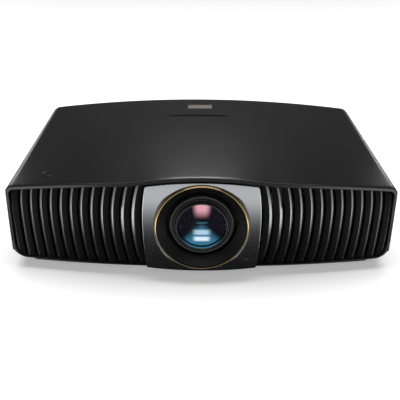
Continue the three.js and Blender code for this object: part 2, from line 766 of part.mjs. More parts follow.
function verticalPlate() {
  const span = [verticalFrom, verticalFrom + plateThickness];
  let made = box([-plateHalfX, plateHalfX], span, [-lugReach, slimRadius + 15]);
  made = cut(made, rod("y", verticalHole, [verticalFrom - 1, verticalFrom + 9], [0, 0], 32));
  const nut = box([plateHalfX - 1, screwX + 6], [verticalFrom, screwY + 6], [-6, 6]);
  made = cut(made.add(nut), rod("z", screwRadius + gap, [-8, 8], [screwX, screwY], 12));
  for (const low of [-(sidewaysHalf + 9), sidewaysHalf + 3]) {
    const lug = box([low, low + 6], [verticalFrom + 1, crossY + 6], [crossZ - 6, crossZ + 6]);
    const bore = rod("x", screwRadius + gap, [low - 1, low + 7], [crossY, crossZ], 12);
    made = cut(made.add(lug), bore);
  }
  return made;
}
place("v_shift_plate", verticalPlate(), aluminium, lens);

function sidewaysPlate() {
  const span = [sidewaysFrom, sidewaysFrom + plateThickness];
  let made = box([-sidewaysHalf, sidewaysHalf], span, [-(slimRadius + 4.5), slimRadius + 12]);
  made = cut(made, rod("y", slimRadius + gap, [sidewaysFrom - 1, sidewaysFrom + 9], [0, 0], 32));
  const nut = box([-6, 6], [sidewaysFrom + 1, crossY + 5], [crossZ - 5, crossZ + 5]);
  const bore = rod("x", screwRadius + gap, [-8, 8], [crossY, crossZ], 12);
  made = cut(made.add(nut), bore);
  const collarRoom = [sidewaysFrom + plateThickness, crossY + 9];
  return cut(made, rod("y", slimRadius + 3 + gap, collarRoom, [0, 0], 32));
}
place("h_shift_plate", sidewaysPlate(), aluminium, lens);

const motorRadius = 6.5;
const motorLength = 15.5;
const screwFoot = -(lugReach + 4);
const screwEnd = sidewaysHalf + 13;
const upright = rod("z", screwRadius, [screwFoot, lugReach + 2], [screwX, screwY], 12);
const uprightMotor = [screwFoot - gap - motorLength, screwFoot - gap];
const level = rod("x", screwRadius, [1 - screwEnd, screwEnd], [crossY, crossZ], 12);
const levelMotor = [screwEnd + gap, screwEnd + gap + motorLength];
place("v_lead_screw", upright, steel, lens);
place("v_shift_motor", rod("z", motorRadius, uprightMotor, [screwX, screwY], 18), steel, lens);
place("h_lead_screw", level, steel, lens);
place("h_shift_motor", rod("x", motorRadius, levelMotor, [crossY, crossZ], 18), steel, lens);

// ======== Cooling ========

const fanX = half - 97;
const fanY = [frontEdge(half) + 25, frontEdge(half) + 25 + fanDepth];
const fanSide = roof(fanX + 46, fanY[0]) - wall - innerFloor - 2 * fanMargin;
const fanZ = innerFloor + fanMargin + fanSide / 2;
const rotorRadius = fanSide / 2 - 4.5;
const hubRadius = 17;

function fanFrame() {
  const reach = fanSide / 2;
  let made = box([-reach, reach], [0, fanDepth], [-reach, reach]);
  made = cut(made, rod("y", rotorRadius + 1.5, [-1, fanDepth + 1], [0, 0], 32));
  for (let k = 0; k < 4; k += 1) {
    const spoke = new THREE.BoxGeometry(3, 3, reach - 4);
    spoke.translate(0, fanDepth - 1.5, (reach + 4) / 2).rotateY((k * Math.PI) / 2 + 0.4);
    made = made.add(solid(spoke));
  }
  return made.add(rod("y", hubRadius, [fanDepth - 3, fanDepth], [0, 0], 20));
}

function fanRotor() {
  let made = rod("y", hubRadius, [1.5, fanDepth - 3.5], [0, 0], 20);
  for (let k = 0; k < bladeCount; k += 1) {
    const blade = new THREE.BoxGeometry(1.8, 18, rotorRadius - hubRadius + 2);
    blade.rotateZ(0.75).translate(0, fanDepth / 2 - 1, (rotorRadius + hubRadius - 2) / 2);
    made = made.add(solid(blade.rotateY((2 * Math.PI * k) / bladeCount)));
  }
  return made;
}

for (const [name, side] of [["intake", -1], ["exhaust", 1]]) {
  const fan = groupAt(side * fanX, fanY[0], fanZ);
  place(name + "_fan_frame", fanFrame(), caseBlack, fan);
  place(name + "_fan_rotor", fanRotor(), finBlack, fan);
}

// A pleated filter: a zigzag band, standing upright behind the left grille.
function filter() {
  const [x0, x1] = [-(half - 20), -(half - 160)];
  const folds = 14;
  const zig = [];
  for (let k = 0; k <= folds; k += 1) zig.push([mix(x0, x1, k / folds), (k % 2) * 4]);
  const behind = zig.map(([x, y]) => [x, y + 1.4]).reverse();
  const filterY = fanY[0] - 8;
  const band = [...zig, ...behind].map(([x, y]) => [x, filterY + y]);
  return prismZ(band, [shellFoot + 6, roof(x0, filterY) - wall - 8]);
}
place("intake_filter", filter(), filterGrey);

// A block of upright fins on a base plate, the fins standing side by side along X.
function finnedBlock([x0, x1], [y0, y1], [z0, z1], count) {
  let made = box([x0, x1], [y1 - 3, y1], [z0, z1]);
  for (let k = 0; k < count; k += 1) {
    const x = mix(x0, x1 - 2, k / (count - 1));
    made = made.add(box([x, x + 2], [y0, y1 - 1], [z0, z1]));
  }
  return made;
}
const lightX = [100, half - 50];
const sinkY = [frontEdge(half) + 57, frontEdge(half) + 88];
place("laser_heatsink", finnedBlock(lightX, sinkY, [innerFloor + 13, 92], 12), aluminium);

// ======== Optics and light ========

const engineY = [front + engineFrom, front + engineFrom + 110];

function opticalEngine() {
  const block = box([-66, 88], engineY, [innerFloor + 12, lensHeight + 30]);
  const port = rod("y", slimBore + 2, [engineY[0] - 1, engineY[0] + 34], [0, lensHeight], 28);
  const cover = box([-56, 78], [engineY[0] + 8, engineY[1] - 8], [lensHeight + 29, lensHeight + 33]);
  return cut(join(block, cover), port);
}
place("optical_engine", opticalEngine(), aluminium);
const chipSink = finnedBlock([-24, 30], [engineY[1] + gap, engineY[1] + 26], [46, lensHeight + 14], 8);
place("dmd_heatsink", chipSink, aluminium);

const laserY = [sinkY[1] + gap, sinkY[1] + 70];
const laserBody = join(
  box([98, half - 94], laserY, [innerFloor + 13, 78]),
  box([106, half - 102], [laserY[0] + 8, laserY[1] - 8], [77, 84]),
);
place("laser_module", laserBody, steel);

// The colour wheel turns about X, beside the engine.
const wheel = groupAt(-78, mix(...engineY, 0.55), 70);
const wheelBody = join(
  rod("x", 28, [-1, 1], [0, 0], 36),
  rod("x", 9, [-9, 6], [0, 0], 18),
);
place("phosphor_wheel", wheelBody, steel, wheel);

// ======== Electronics ========

function powerSupply() {
  const [x0, x1] = [-(half - 29), -136];
  const [y0, y1] = [frontEdge(half) + 80, frontEdge(half) + 215];
  const base = innerFloor + 12;
  let made = box([x0, x1], [y0, y1], [base, base + 2]);
  made = made.add(box([x0 + 12, x0 + 52], [y0 + 12, y0 + 50], [base + 1, base + 34]));
  made = made.add(box([x0 + 10, x0 + 16], [y0 + 60, y1 - 8], [base + 1, base + 36]));
  for (const [x, y] of [[x0 + 36, y0 + 72], [x0 + 36, y0 + 100], [x0 + 62, y0 + 100]]) {
    made = made.add(rod("z", 10, [base + 1, base + 30], [x, y], 14));
  }
  return made.add(box([x1 - 24, x1 - 8], [y0 + 10, y0 + 60], [base + 1, base + 18]));
}
place("power_supply", powerSupply(), board);

const boardTop = innerFloor + 18;
function mainBoard() {
  const y = [panelFace - 108, panelFace - 8];
  let made = box([-(half - 114), half - 50], y, [boardTop - 1.6, boardTop]);
  made = made.add(box([-30, 20], [y[0] + 15, y[0] + 60], [boardTop - 1, boardTop + 14]));
  made = made.add(box([60, 84], [y[0] + 20, y[0] + 44], [boardTop - 1, boardTop + 3]));
  return made.add(box([-90, -66], [y[0] + 20, y[0] + 44], [boardTop - 1, boardTop + 3]));
}
place("main_board", mainBoard(), board);

// ======== Rear panel and its ports ========

const panelThickness = 2.5;
const portRow = boardTop + gap;

// A socket shell that opens to the rear; the tongue, where it has one, stands in the middle.
function socket(w, h, tongue) {
  const shellBody = box([-w / 2, w / 2], [-16, 3], [0, h]);
  const hollow = box([1 - w / 2, w / 2 - 1], [-13, 4], [1, h - 1]);
  const made = cut(shellBody, hollow);
  if (!tongue) return made;
  return made.add(box([3 - w / 2, w / 2 - 3], [-14, 1], [h / 2 - 0.8, h / 2 + 0.8]));
}

function jack(outer, inner) {
  const body = join(box([-5, 5], [-14, 0], [0, 10]), rod("y", outer, [-1, 3], [0, 5], 16));
  return cut(body, rod("y", inner, [-10, 4], [0, 5], 12));
}

function serialPort() {
  const flange = box([-15, 15], [-8, 0.6], [0, 12.5]);
  const face = [[-8.5, 2.2], [8.5, 2.2], [9.8, 10.3], [-9.8, 10.3]];
  return join(flange, prismY(face, [0, 6]));
}

const ports = [
  { name: "lan_port", x: -84, body: socket(16, 14, false), hole: [16, 14], material: steel },
  { name: "hdmi_port_1", x: -52, body: socket(15, 6.2, true), hole: [15, 6.2], material: steel },
  { name: "hdmi_port_2", x: -26, body: socket(15, 6.2, true), hole: [15, 6.2], material: steel },
  { name: "usb_port", x: 0, body: socket(13.4, 7, true), hole: [13.4, 7], material: steel },
  { name: "serial_port", x: 34, body: serialPort(), hole: [30, 12.5], material: steel },
  { name: "trigger_jack", x: 64, body: jack(3.6, 1.75), hole: [10, 10], material: caseBlack },
  { name: "audio_jack", x: 84, body: jack(3.6, 1.75), hole: [10, 10], material: caseBlack },
];

const inletX = -(half - 64);
const inletFoot = boardTop + 2;
const inletSize = [30, 24];
const vents = { x: [112, half - 44], z: [portRow, portRow + 40], pitch: 7, slot: 3.4 };

function rearPanel() {
  const room = { side: wall + gap, top: wall + gap, foot: wall + gap };
  let made = sectionRun(room, [panelFace - panelThickness, panelFace]);
  const tall = box([-width, width], [-depth, depth], [partingHeight - 22, height]);
  made = made.intersect(tall);
  for (const { x, hole } of ports) {
    const [w, h] = hole;
    const xs = [x - w / 2 - gap, x + w / 2 + gap];
    made = made.subtract(box(xs, [rear - 60, rear + 9], [portRow - gap, portRow + h + gap]));
  }
  const [w, h] = inletSize;
  const inletXs = [inletX - w / 2 - gap, inletX + w / 2 + gap];
  made = cut(made, box(inletXs, [rear - 60, rear + 9], [inletFoot - gap, inletFoot + h + gap]));
  for (let x = vents.x[0]; x < vents.x[1]; x += vents.pitch) {
    made = made.subtract(box([x, x + vents.slot], [rear - 60, rear + 9], vents.z));
  }
  return made;
}
place("rear_panel", rearPanel(), caseBlack);

for (const { name, x, body, material } of ports) {
  place(name, body, material, groupAt(x, panelFace, portRow));
}

function mainsInlet() {
  const [w, h] = inletSize;
  const body = box([-w / 2, w / 2], [-24, 1], [0, h]);
  const hollow = box([4 - w / 2, w / 2 - 4], [-16, 2], [4, h - 4]);
  let made = cut(body, hollow);
  for (const [x, z] of [[-7, 14], [7, 14], [0, 8]]) {
    made = made.add(box([x - 1, x + 1], [-17, -2], [z - 2, z + 2]));
  }
  return made;
}
place("ac_inlet", mainsInlet(), caseBlack, groupAt(inletX, panelFace, inletFoot));

// ======== Feet and fasteners ========

const padHeight = footDrop - gap;
const studBore = 6;
footPlaces.forEach(([x, y], i) => {
  const foot = groupAt(x, y, 0);
  const name = "foot_" + (i + 1);
  const pad = new THREE.CylinderGeometry(footRadiusPad, footRadiusPad - 1, padHeight, 24);
  const padBody = solid(pad.rotateX(Math.PI / 2).translate(0, 0, padHeight / 2));
  const bore = rod("z", studRadius + gap, [padHeight - studBore, padHeight + 1], [0, 0], 16);
  place(name + "_pad", cut(padBody, bore), rubber, foot);
  const studSpan = [padHeight - studBore + gap, innerFloor + 20];
  place(name + "_stud", rod("z", studRadius, studSpan, [0, 0], 14), steel, foot);
});

screwPlaces.forEach(([x, y], i) => {
  const head = rod("z", 3, [shellFoot + 1.8, shellFoot + 4 - gap], [0, 0], 12);
  const shank = rod("z", 1.4, [shellFoot + 3, shellFoot + 22], [0, 0], 8);
  place("cover_screw_" + (i + 1), join(head, shank), steel, groupAt(x, y, 0));
});

export default projector;
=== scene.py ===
import json
import math

import bmesh
import bpy
from mathutils import Matrix, Vector


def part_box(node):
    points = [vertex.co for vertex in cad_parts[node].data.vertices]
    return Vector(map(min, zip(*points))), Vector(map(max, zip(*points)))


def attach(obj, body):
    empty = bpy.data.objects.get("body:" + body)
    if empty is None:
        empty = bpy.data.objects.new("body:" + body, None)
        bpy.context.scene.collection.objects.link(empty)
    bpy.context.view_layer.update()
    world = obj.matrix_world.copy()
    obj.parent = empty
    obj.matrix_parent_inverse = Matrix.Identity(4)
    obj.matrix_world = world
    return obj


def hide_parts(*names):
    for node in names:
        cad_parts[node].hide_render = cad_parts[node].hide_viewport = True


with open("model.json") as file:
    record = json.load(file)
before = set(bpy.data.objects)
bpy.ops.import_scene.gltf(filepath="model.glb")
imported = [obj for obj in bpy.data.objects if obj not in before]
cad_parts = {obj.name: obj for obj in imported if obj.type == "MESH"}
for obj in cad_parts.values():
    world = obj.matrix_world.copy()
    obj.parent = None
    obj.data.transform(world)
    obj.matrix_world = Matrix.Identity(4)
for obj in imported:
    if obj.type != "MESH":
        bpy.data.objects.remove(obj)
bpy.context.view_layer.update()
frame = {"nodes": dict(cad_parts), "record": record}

# ---- Camera ----
# A stride in front of the projector and a little above it, looking down on the lens.
# It is turned and rolled by well under a degree, as a camera on a tripod is.
mm = 0.001
camera_place = Vector((-8.0, -974.3, 507.2)) * mm
looking_down = math.radians(26)
yaw = math.radians(0.40)
roll = math.radians(0.46)
ahead = Vector((
    math.sin(yaw) * math.cos(looking_down),
    math.cos(yaw) * math.cos(looking_down),
    -math.sin(looking_down),
))
level = Vector((math.cos(yaw), -math.sin(yaw), 0))
upward = level.cross(ahead)
camera_right = math.cos(roll) * level + math.sin(roll) * upward
camera_up = math.cos(roll) * upward - math.sin(roll) * level
lens_data = bpy.data.cameras.new("camera")
lens_data.lens = 61.1
lens_data.sensor_width = 36
lens_data.clip_start = 0.05
camera = bpy.data.objects.new("camera", lens_data)
bpy.context.collection.objects.link(camera)
turned_to = Matrix((camera_right, camera_up, -ahead)).transposed()
camera.matrix_world = Matrix.Translation(camera_place) @ turned_to.to_4x4()
bpy.context.scene.camera = camera

# ---- Studio ----
# A plain pale floor that runs past the view on every side, under soft boxes.
# The floor is lit to near white, and it stays out of the gloss of the black housing.
bpy.context.scene.view_settings.view_transform = "Standard"


def new_material(name):
    made = bpy.data.materials.new(name)
    made.use_nodes = True
    made.node_tree.nodes.clear()
    output = made.node_tree.nodes.new("ShaderNodeOutputMaterial")
    shader = made.node_tree.nodes.new("ShaderNodeBsdfPrincipled")
    made.node_tree.links.new(shader.outputs["BSDF"], output.inputs["Surface"])
    return made, made.node_tree, shader


def mesh_object(name, points, faces, material, sharp=35):
    mesh = bpy.data.meshes.new(name)
    mesh.from_pydata([tuple(p) for p in points], [], faces)
    mesh.validate()
    mesh.materials.append(material)
    made = bpy.data.objects.new(name, mesh)
    bpy.context.collection.objects.link(made)
    smooth(made, sharp)
    return made


def smooth(piece, sharp=35):
    mesh = piece.data
    mesh.polygons.foreach_set("use_smooth", [True] * len(mesh.polygons))
    mesh.set_sharp_from_angle(angle=math.radians(sharp))
    mesh.update()


floor_paint, _, floor_shader = new_material("floor_paint")
floor_shader.inputs["Base Color"].default_value = (0.86, 0.86, 0.86, 1)
floor_shader.inputs["Roughness"].default_value = 0.9
floor_shader.inputs["Emission Color"].default_value = (1, 1, 1, 1)
floor_shader.inputs["Emission Strength"].default_value = 0.33
floor_reach = 6.0
floor_corners = [(-1, -1), (1, -1), (1, 1), (-1, 1)]
floor = mesh_object(
    "floor",
    [(x * floor_reach, y * floor_reach, -0.2 * mm) for x, y in floor_corners],
    [(0, 1, 2, 3)],
    floor_paint,
)
floor.visible_glossy = False


def soft_box(name, place, aim, size, power):
    data = bpy.data.lights.new(name, "AREA")
    data.shape = "RECTANGLE"
    data.size, data.size_y = size
    data.energy = power
    box = bpy.data.objects.new(name, data)
    bpy.context.collection.objects.link(box)
    box.location = place
    box.rotation_euler = (Vector(aim) - Vector(place)).to_track_quat("-Z", "Y").to_euler()
    return box


# A wide box overhead, a pair behind that draws the roof's side edges, a small one low over the roof,
# and a card in front for the lens and its bezel.
soft_box("overhead", (0, 0.2, 2.6), (0, 0.2, 0), (3.2, 2.6), 92)
for side_name, side in (("left", -1), ("right", 1)):
    soft_box("rear_" + side_name, (side * 1.38, 2.1, 0.44), (side * 0.26, 0, 0.12), (0.4, 0.3), 1.5)
roof_box = soft_box("roof_box", (0, 0.40, 0.58), (0, -0.16, 0.15), (0.26, 0.2), 3.1)
roof_box.visible_camera = False
soft_box("front_card", (0, -2.0, 1.15), (0, -0.2, 0.09), (1.3, 1.0), 7.0)


class Reading:
    """A number that a node tree works out for every point, written as ordinary arithmetic."""

    def __init__(self, tree, socket):
        self.tree, self.socket = tree, socket

    def through(self, operation, *others):
        node = self.tree.nodes.new("ShaderNodeMath")
        node.operation = operation
        for socket, value in zip(node.inputs, (self, *others)):
            if isinstance(value, Reading):
                self.tree.links.new(value.socket, socket)
            else:
                socket.default_value = value
        return Reading(self.tree, node.outputs[0])

    def __add__(self, other):
        return self.through("ADD", other)

    def __sub__(self, other):
        return self.through("SUBTRACT", other)

    def __mul__(self, other):
        return self.through("MULTIPLY", other)

    def __truediv__(self, other):
        return self.through("DIVIDE", other)

    def __pow__(self, other):
        return self.through("POWER", other)

    def most(self, other):
        return self.through("MAXIMUM", other)

    def least(self, other):
        return self.through("MINIMUM", other)

    def size(self):
        return self.through("ABSOLUTE")

    def root(self):
        return self.most(0.0).through("SQRT")


def tree_node(tree, kind, links=None, **settings):
    node = tree.nodes.new(kind)
    for label, value in settings.items():
        setattr(node, label, value)
    for label, source in (links or {}).items():
        if isinstance(source, Reading):
            source = source.socket
        if isinstance(source, bpy.types.NodeSocket):
            tree.links.new(source, node.inputs[label])
        else:
            node.inputs[label].default_value = source
    return node


def soft(reading, start, full):
    """0 where the reading is at start, 1 where it is at full, and smooth between."""
    edge = tree_node(
        reading.tree,
        "ShaderNodeMapRange",
        {"Value": reading, "From Min": start, "From Max": full},
        interpolation_type="SMOOTHSTEP",
    )
    return Reading(reading.tree, edge.outputs[0])


def tinted(tree, base, strength, colour):
    """Adds a colour, times a strength, to the base colour's socket."""
    mixed = tree_node(
        tree,
        "ShaderNodeMixRGB",
        {"Fac": strength, "Color1": base, "Color2": (*colour, 1)},
        blend_type="ADD",
    )
    return mixed.outputs["Color"]


# The room round the soft boxes, by height above the horizon: dark overhead, a brighter band
# just under the horizon where a pale table would be, and dark underfoot, with pale walls low at both sides.
room = bpy.data.worlds.new("room")
room.use_nodes = True
bpy.context.scene.world = room
room_tree = room.node_tree
direction = tree_node(room_tree, "ShaderNodeTexCoord")
parts = tree_node(room_tree, "ShaderNodeSeparateXYZ", {"Vector": direction.outputs["Generated"]})
to_side, to_rear, to_top = (Reading(room_tree, parts.outputs[i]) for i in range(3))
band = tree_node(room_tree, "ShaderNodeMapRange", {"Value": to_top, "From Min": -1.0, "From Max": 1.0})
ramp = tree_node(room_tree, "ShaderNodeValToRGB", {"Fac": band.outputs["Result"]})
room_strength = 2.0
wall_level = 1.9
room_levels = [
    (-1.0, 0.01),
    (-0.60, 0.01),
    (-0.53, 0.015),
    (-0.485, 0.05),
    (-0.44, 0.24),
    (-0.395, 0.84),
    (-0.36, 0.80),
    (-0.30, 0.45),
    (-0.10, 0.30),
    (0.06, 0.14),
    (0.16, 0.03),
    (0.5, 0.03),
    (1.0, 0.08),
]
for place, brightness in room_levels:
    share_up = (place + 1) / 2
    if place in (-1.0, 1.0):
        stop = ramp.color_ramp.elements[0 if place < 0 else -1]
        stop.position = share_up
    else:
        stop = ramp.color_ramp.elements.new(share_up)
    stop.color = (brightness, brightness, brightness, 1)
side_walls = soft(to_side.size(), 0.40, 0.55) * soft(to_rear, -0.14, -0.52)
side_walls = side_walls * soft(to_top, -0.20, -0.38) * soft(to_top, -0.60, -0.49)
room_light = tinted(room_tree, ramp.outputs["Color"], side_walls, (wall_level,) * 3)
background = room_tree.nodes["Background"]
room_tree.links.new(room_light, background.inputs["Color"])
background.inputs["Strength"].default_value = room_strength
room.cycles.sampling_method = "NONE"

# ---- Top cover ----
# One moulding in satin black plastic: a low arched roof that falls to the sides and the rear,
# swells over the lens, and ends at the front in a rounded lip that carries on down as the side frames.
cover_low, cover_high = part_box("top_cover")
case_low, case_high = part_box("bottom_case")
half = cover_high.x
front = cover_low.y
rear = cover_high.y
height = cover_high.z
plinth_height = 8.5 * mm
shell_foot = case_low.z + plinth_height
front_bow = 45 * mm
rear_bow = 15 * mm
lower_bow = 27 * mm
lower_setback = 2 * mm
belly = 95 * mm
front_fall = 27.5 * mm
rear_fall = 12.3 * mm
rear_drop = 24.5 * mm
hump = 6.3 * mm
hump_half = 95 * mm
hump_reach = 0.6
roof_radius = 15 * mm
foot_radius = 22 * mm
front_corner = 8 * mm
rear_corner = 18 * mm
wall = 2.5 * mm
rim = 6 * mm
rim_depth = 14 * mm
lip = 5.7 * mm
ledge = 1.4 * mm
gap = 0.3 * mm
lip_rounding = 1.5 * mm


def share(value, start, end):
    return (value - start) / (end - start)


def mix(a, b, t):
    return a + (b - a) * t


def front_edge(x):
    return front + front_bow * (x / half) ** 2


def rear_edge(x):
    return rear - rear_bow * (x / half) ** 2


def lower_edge(x):
    return front_edge(half) + lower_setback - lower_bow * (1 - (x / half) ** 2)


def roof(x, y):
    outward = (x / half) ** 2
    along = share(y, front_edge(x), rear_edge(x))
    crown = mix(height - hump - front_fall * outward, height - rear_drop - rear_fall * outward, along)
    across = (1 - min(1, abs(x) / hump_half) ** 2) ** 1.2
    return crown + hump * across * (1 - min(1, max(0, along / hump_reach))) ** 2


def tuck(z):
    return max(0, share(z, belly, shell_foot)) ** 2


class Rounded:
    """A curve that is symmetric about the middle, with its corner at the side wall rounded."""

    def __init__(self, curve, side, radius, outward):
        def slope(x):
            return (curve(x + 1e-5) - curve(x - 1e-5)) / 2e-5

        self.curve, self.side, self.radius, self.outward = curve, side, radius, outward
        touch = side - radius
        for _ in range(8):
            s = slope(touch)
            touch = side - radius - radius * outward * s / math.hypot(1, s)
        self.touch = touch
        self.centre = curve(touch) - radius * outward / math.hypot(1, slope(touch))
        self.reach = math.acos((touch - side + radius) / radius)

    def at(self, x):
        a = min(abs(x), self.side)
        if a <= self.touch:
            return self.curve(a)
        drop = self.radius ** 2 - (a - self.side + self.radius) ** 2
        return self.centre + self.outward * math.sqrt(max(0, drop))


upper_front = Rounded(front_edge, half, front_corner, -1)
lower_front = Rounded(lower_edge, half, front_corner, -1)
rear_line = Rounded(rear_edge, half, rear_corner, 1)


def front_face(x, z):
    return mix(upper_front.at(x), lower_front.at(x), tuck(max(z, shell_foot)))


def skin_point(station, along, inward, ends):
    """A point on the shell: station says where round the section, along is its place in the depth."""
    kind, t = station
    side, top, foot = inward
    wall_at = half - side
    low_radius = foot_radius - side
    y = mix(front, rear, 0.5)
    for _ in range(3):
        if kind == "foot":
            x, z = (wall_at - low_radius) * t, shell_foot + foot
        elif kind == "bend":
            a = t * math.pi / 2
            x = wall_at - low_radius + low_radius * math.sin(a)
            z = shell_foot + foot + low_radius * (1 - math.cos(a))
        else:
            top_radius = roof_radius - min(side, roof_radius / 2)
            arch = Rounded(lambda at: roof(at, y) - top, wall_at, top_radius, 1)
            if kind == "wall":
                low = ends if ends is not None else shell_foot + foot + low_radius
                x, z = wall_at, mix(low, arch.centre, t)
            elif kind == "edge":
                a = arch.reach * t
                x = wall_at - top_radius + top_radius * math.cos(a)
                z = arch.centre + top_radius * math.sin(a)
            else:
                x = arch.touch * (1 - t)
                z = roof(x, y) - top
        if kind == "lower wall":
            low = shell_foot + foot + low_radius
            x, z = wall_at, mix(low, ends, t)
        y = along(x, z)
    return Vector((x, y, z))


def steps(count, start=0.0, end=1.0):
    return [mix(start, end, k / (count - 1)) for k in range(count)]


def shell_rings(run, lip_top, lip_side, lip_foot):
    """The loop round the shell's thickness: outer skin, front edge, inner skin, rear edge."""
    loop = []
    for t in reversed(steps(run)):
        loop.append((lambda x, z, t=t: mix(front_face(x, z) + lip_rounding, rear_line.at(x), t), 0))
    for k in range(1, 5):
        a = k * math.pi / 8
        loop.append((
            lambda x, z, a=a: front_face(x, z) + lip_rounding * (1 - math.sin(a)),
            0.26 * (1 - math.cos(a)),
        ))
    for share_in in (0.4, 0.55, 0.7, 0.85):
        loop.append((lambda x, z: front_face(x, z), share_in))
    for k in range(3):
        a = k * math.pi / 4
        loop.append((
            lambda x, z, a=a: front_face(x, z) + 0.5 * mm * (1 - math.cos(a)),
            0.92 + 0.08 * math.sin(a),
        ))
    loop.append((lambda x, z: front_face(x, z) + rim_depth, 1))
    loop = [(f, (k * lip_side, k * lip_top, k * lip_foot)) for f, k in loop]
    loop.append((lambda x, z: front_face(x, z) + rim_depth + 0.2 * mm, (wall, wall, wall)))
    for t in steps(9, 0.1, 1):
        loop.append((
            lambda x, z, t=t: mix(front_face(x, z) + rim_depth, rear_line.at(x), t),
            (wall, wall, wall),
        ))
    for k in (0.75, 0.5, 0.25):
        loop.append((lambda x, z: rear_line.at(x), (k * wall, k * wall, k * wall)))
    return loop


def woven(rows, around=False):
    """Faces between neighbouring rows, each a closed loop; around joins the last row to the first."""
    count = len(rows[0])
    faces = []
    for i in range(len(rows) if around else len(rows) - 1):
        here, there = i * count, (i + 1) % len(rows) * count
        for j in range(count):
            k = (j + 1) % count
            faces.append((here + j, here + k, there + k, there + j))
    return faces


def end_caps(rows):
    count = len(rows[0])
    last = (len(rows) - 1) * count
    return [tuple(range(count)), tuple(last + j for j in reversed(range(count)))]


def face_outwards(piece):
    body = bmesh.new()
    body.from_mesh(piece.data)
    bmesh.ops.remove_doubles(body, verts=body.verts, dist=1e-7)
    bmesh.ops.recalc_face_normals(body, faces=body.faces)
    body.to_mesh(piece.data)
    body.free()


def woven_piece(name, rows, faces, material, sharp=35):
    made = mesh_object(name, [p for row in rows for p in row], faces, material, sharp)
    face_outwards(made)
    smooth(made, sharp)
    return made


def shell_piece(name, stations, loop, ends, material):
    right = [[skin_point(s, f, inward, ends) for f, inward in loop] for s in stations]
    left = [[Vector((-p.x, p.y, p.z)) for p in row] for row in reversed(right)]
    rows = right + left[1:]
    return woven_piece(name, rows, woven(rows) + end_caps(rows), material)


def clamped(reading):
    return reading.most(0.0).least(1.0)


def node_group(name, inputs, outputs):
    """A shader node group; returns it, its readings by name, and the node that its outputs leave by."""
    group = bpy.data.node_groups.new(name, "ShaderNodeTree")
    for label, kind, value in inputs:
        socket = group.interface.new_socket(label, in_out="INPUT", socket_type=kind)
        socket.default_value = value
    for label, kind in outputs:
        group.interface.new_socket(label, in_out="OUTPUT", socket_type=kind)
    entry = group.nodes.new("NodeGroupInput")
    readings = {label: Reading(group, entry.outputs[label]) for label, _, _ in inputs}
    return group, readings, group.nodes.new("NodeGroupOutput")


# Fine spark-eroded texture that a mould leaves on plastic, with slow changes in its sheen.
grain, grain_in, grain_out = node_group(
    "moulded_grain",
    [
        ("Cells per Metre", "NodeSocketFloat", 1800.0),
        ("Roughness", "NodeSocketFloat", 0.4),
        ("Sheen Change", "NodeSocketFloat", 0.05),
    ],
    [("Height", "NodeSocketFloat"), ("Roughness", "NodeSocketFloat")],
)
grain_place = tree_node(grain, "ShaderNodeTexCoord").outputs["Object"]
grain_cells = tree_node(
    grain,
    "ShaderNodeTexNoise",
    {"Vector": grain_place, "Scale": grain_in["Cells per Metre"], "Detail": 3.0},
)
grain_slow = tree_node(grain, "ShaderNodeTexNoise", {"Vector": grain_place, "Scale": 22.0, "Detail": 4.0})
grain_sheen = (Reading(grain, grain_slow.outputs[0]) - 0.5) * grain_in["Sheen Change"] + grain_in["Roughness"]
grain.links.new(grain_cells.outputs[0], grain_out.inputs["Height"])
grain.links.new(grain_sheen.socket, grain_out.inputs["Roughness"])

# Corners rub paler with handling, and a trace of dust settles on what faces up.
dust_colour = (0.45, 0.44, 0.42, 1)
wear, wear_in, wear_out = node_group(
    "rub_and_dust",
    [
        ("Colour", "NodeSocketColor", (0.02, 0.02, 0.02, 1)),
        ("Rubbed Colour", "NodeSocketColor", (0.08, 0.08, 0.08, 1)),
        ("Rub", "NodeSocketFloat", 0.3),
        ("Dust", "NodeSocketFloat", 0.02),
    ],
    [("Colour", "NodeSocketColor")],
)
wear_shape = tree_node(wear, "ShaderNodeNewGeometry")
wear_corners = tree_node(
    wear,
    "ShaderNodeMapRange",
    {"Value": wear_shape.outputs["Pointiness"], "From Min": 0.52, "From Max": 0.62},
)
wear_rubbed = tree_node(
    wear,
    "ShaderNodeMix",
    {
        "Factor": Reading(wear, wear_corners.outputs["Result"]) * wear_in["Rub"],
        "A": wear_in["Colour"],
        "B": wear_in["Rubbed Colour"],
    },
    data_type="RGBA",
)
wear_place = tree_node(wear, "ShaderNodeTexCoord").outputs["Object"]
wear_specks = tree_node(wear, "ShaderNodeTexNoise", {"Vector": wear_place, "Scale": 900.0, "Detail": 2.0})
wear_few = tree_node(
    wear,
    "ShaderNodeMapRange",
    {"Value": wear_specks.outputs[0], "From Min": 0.55, "From Max": 0.75},
)
wear_facing = tree_node(wear, "ShaderNodeSeparateXYZ", {"Vector": wear_shape.outputs["Normal"]})
wear_up = Reading(wear, wear_facing.outputs["Z"])
wear_settled = clamped(wear_up * Reading(wear, wear_few.outputs["Result"])) * wear_in["Dust"]
wear_dusted = tree_node(
    wear,
    "ShaderNodeMix",
    {"Factor": wear_settled, "A": wear_rubbed.outputs["Result"], "B": dust_colour},
    data_type="RGBA",
)
wear.links.new(wear_dusted.outputs["Result"], wear_out.inputs["Colour"])


def placed_group(tree, group, values):
    node = tree.nodes.new("ShaderNodeGroup")
    node.node_tree = group
    for label, value in values.items():
        node.inputs[label].default_value = value
    return node


def grey(value, warmth=0.0):
    return (value * (1 + warmth), value, value * (1 - warmth), 1)


def join(shader, sources):
    for label, source in sources.items():
        shader.id_data.links.new(source, shader.inputs[label])


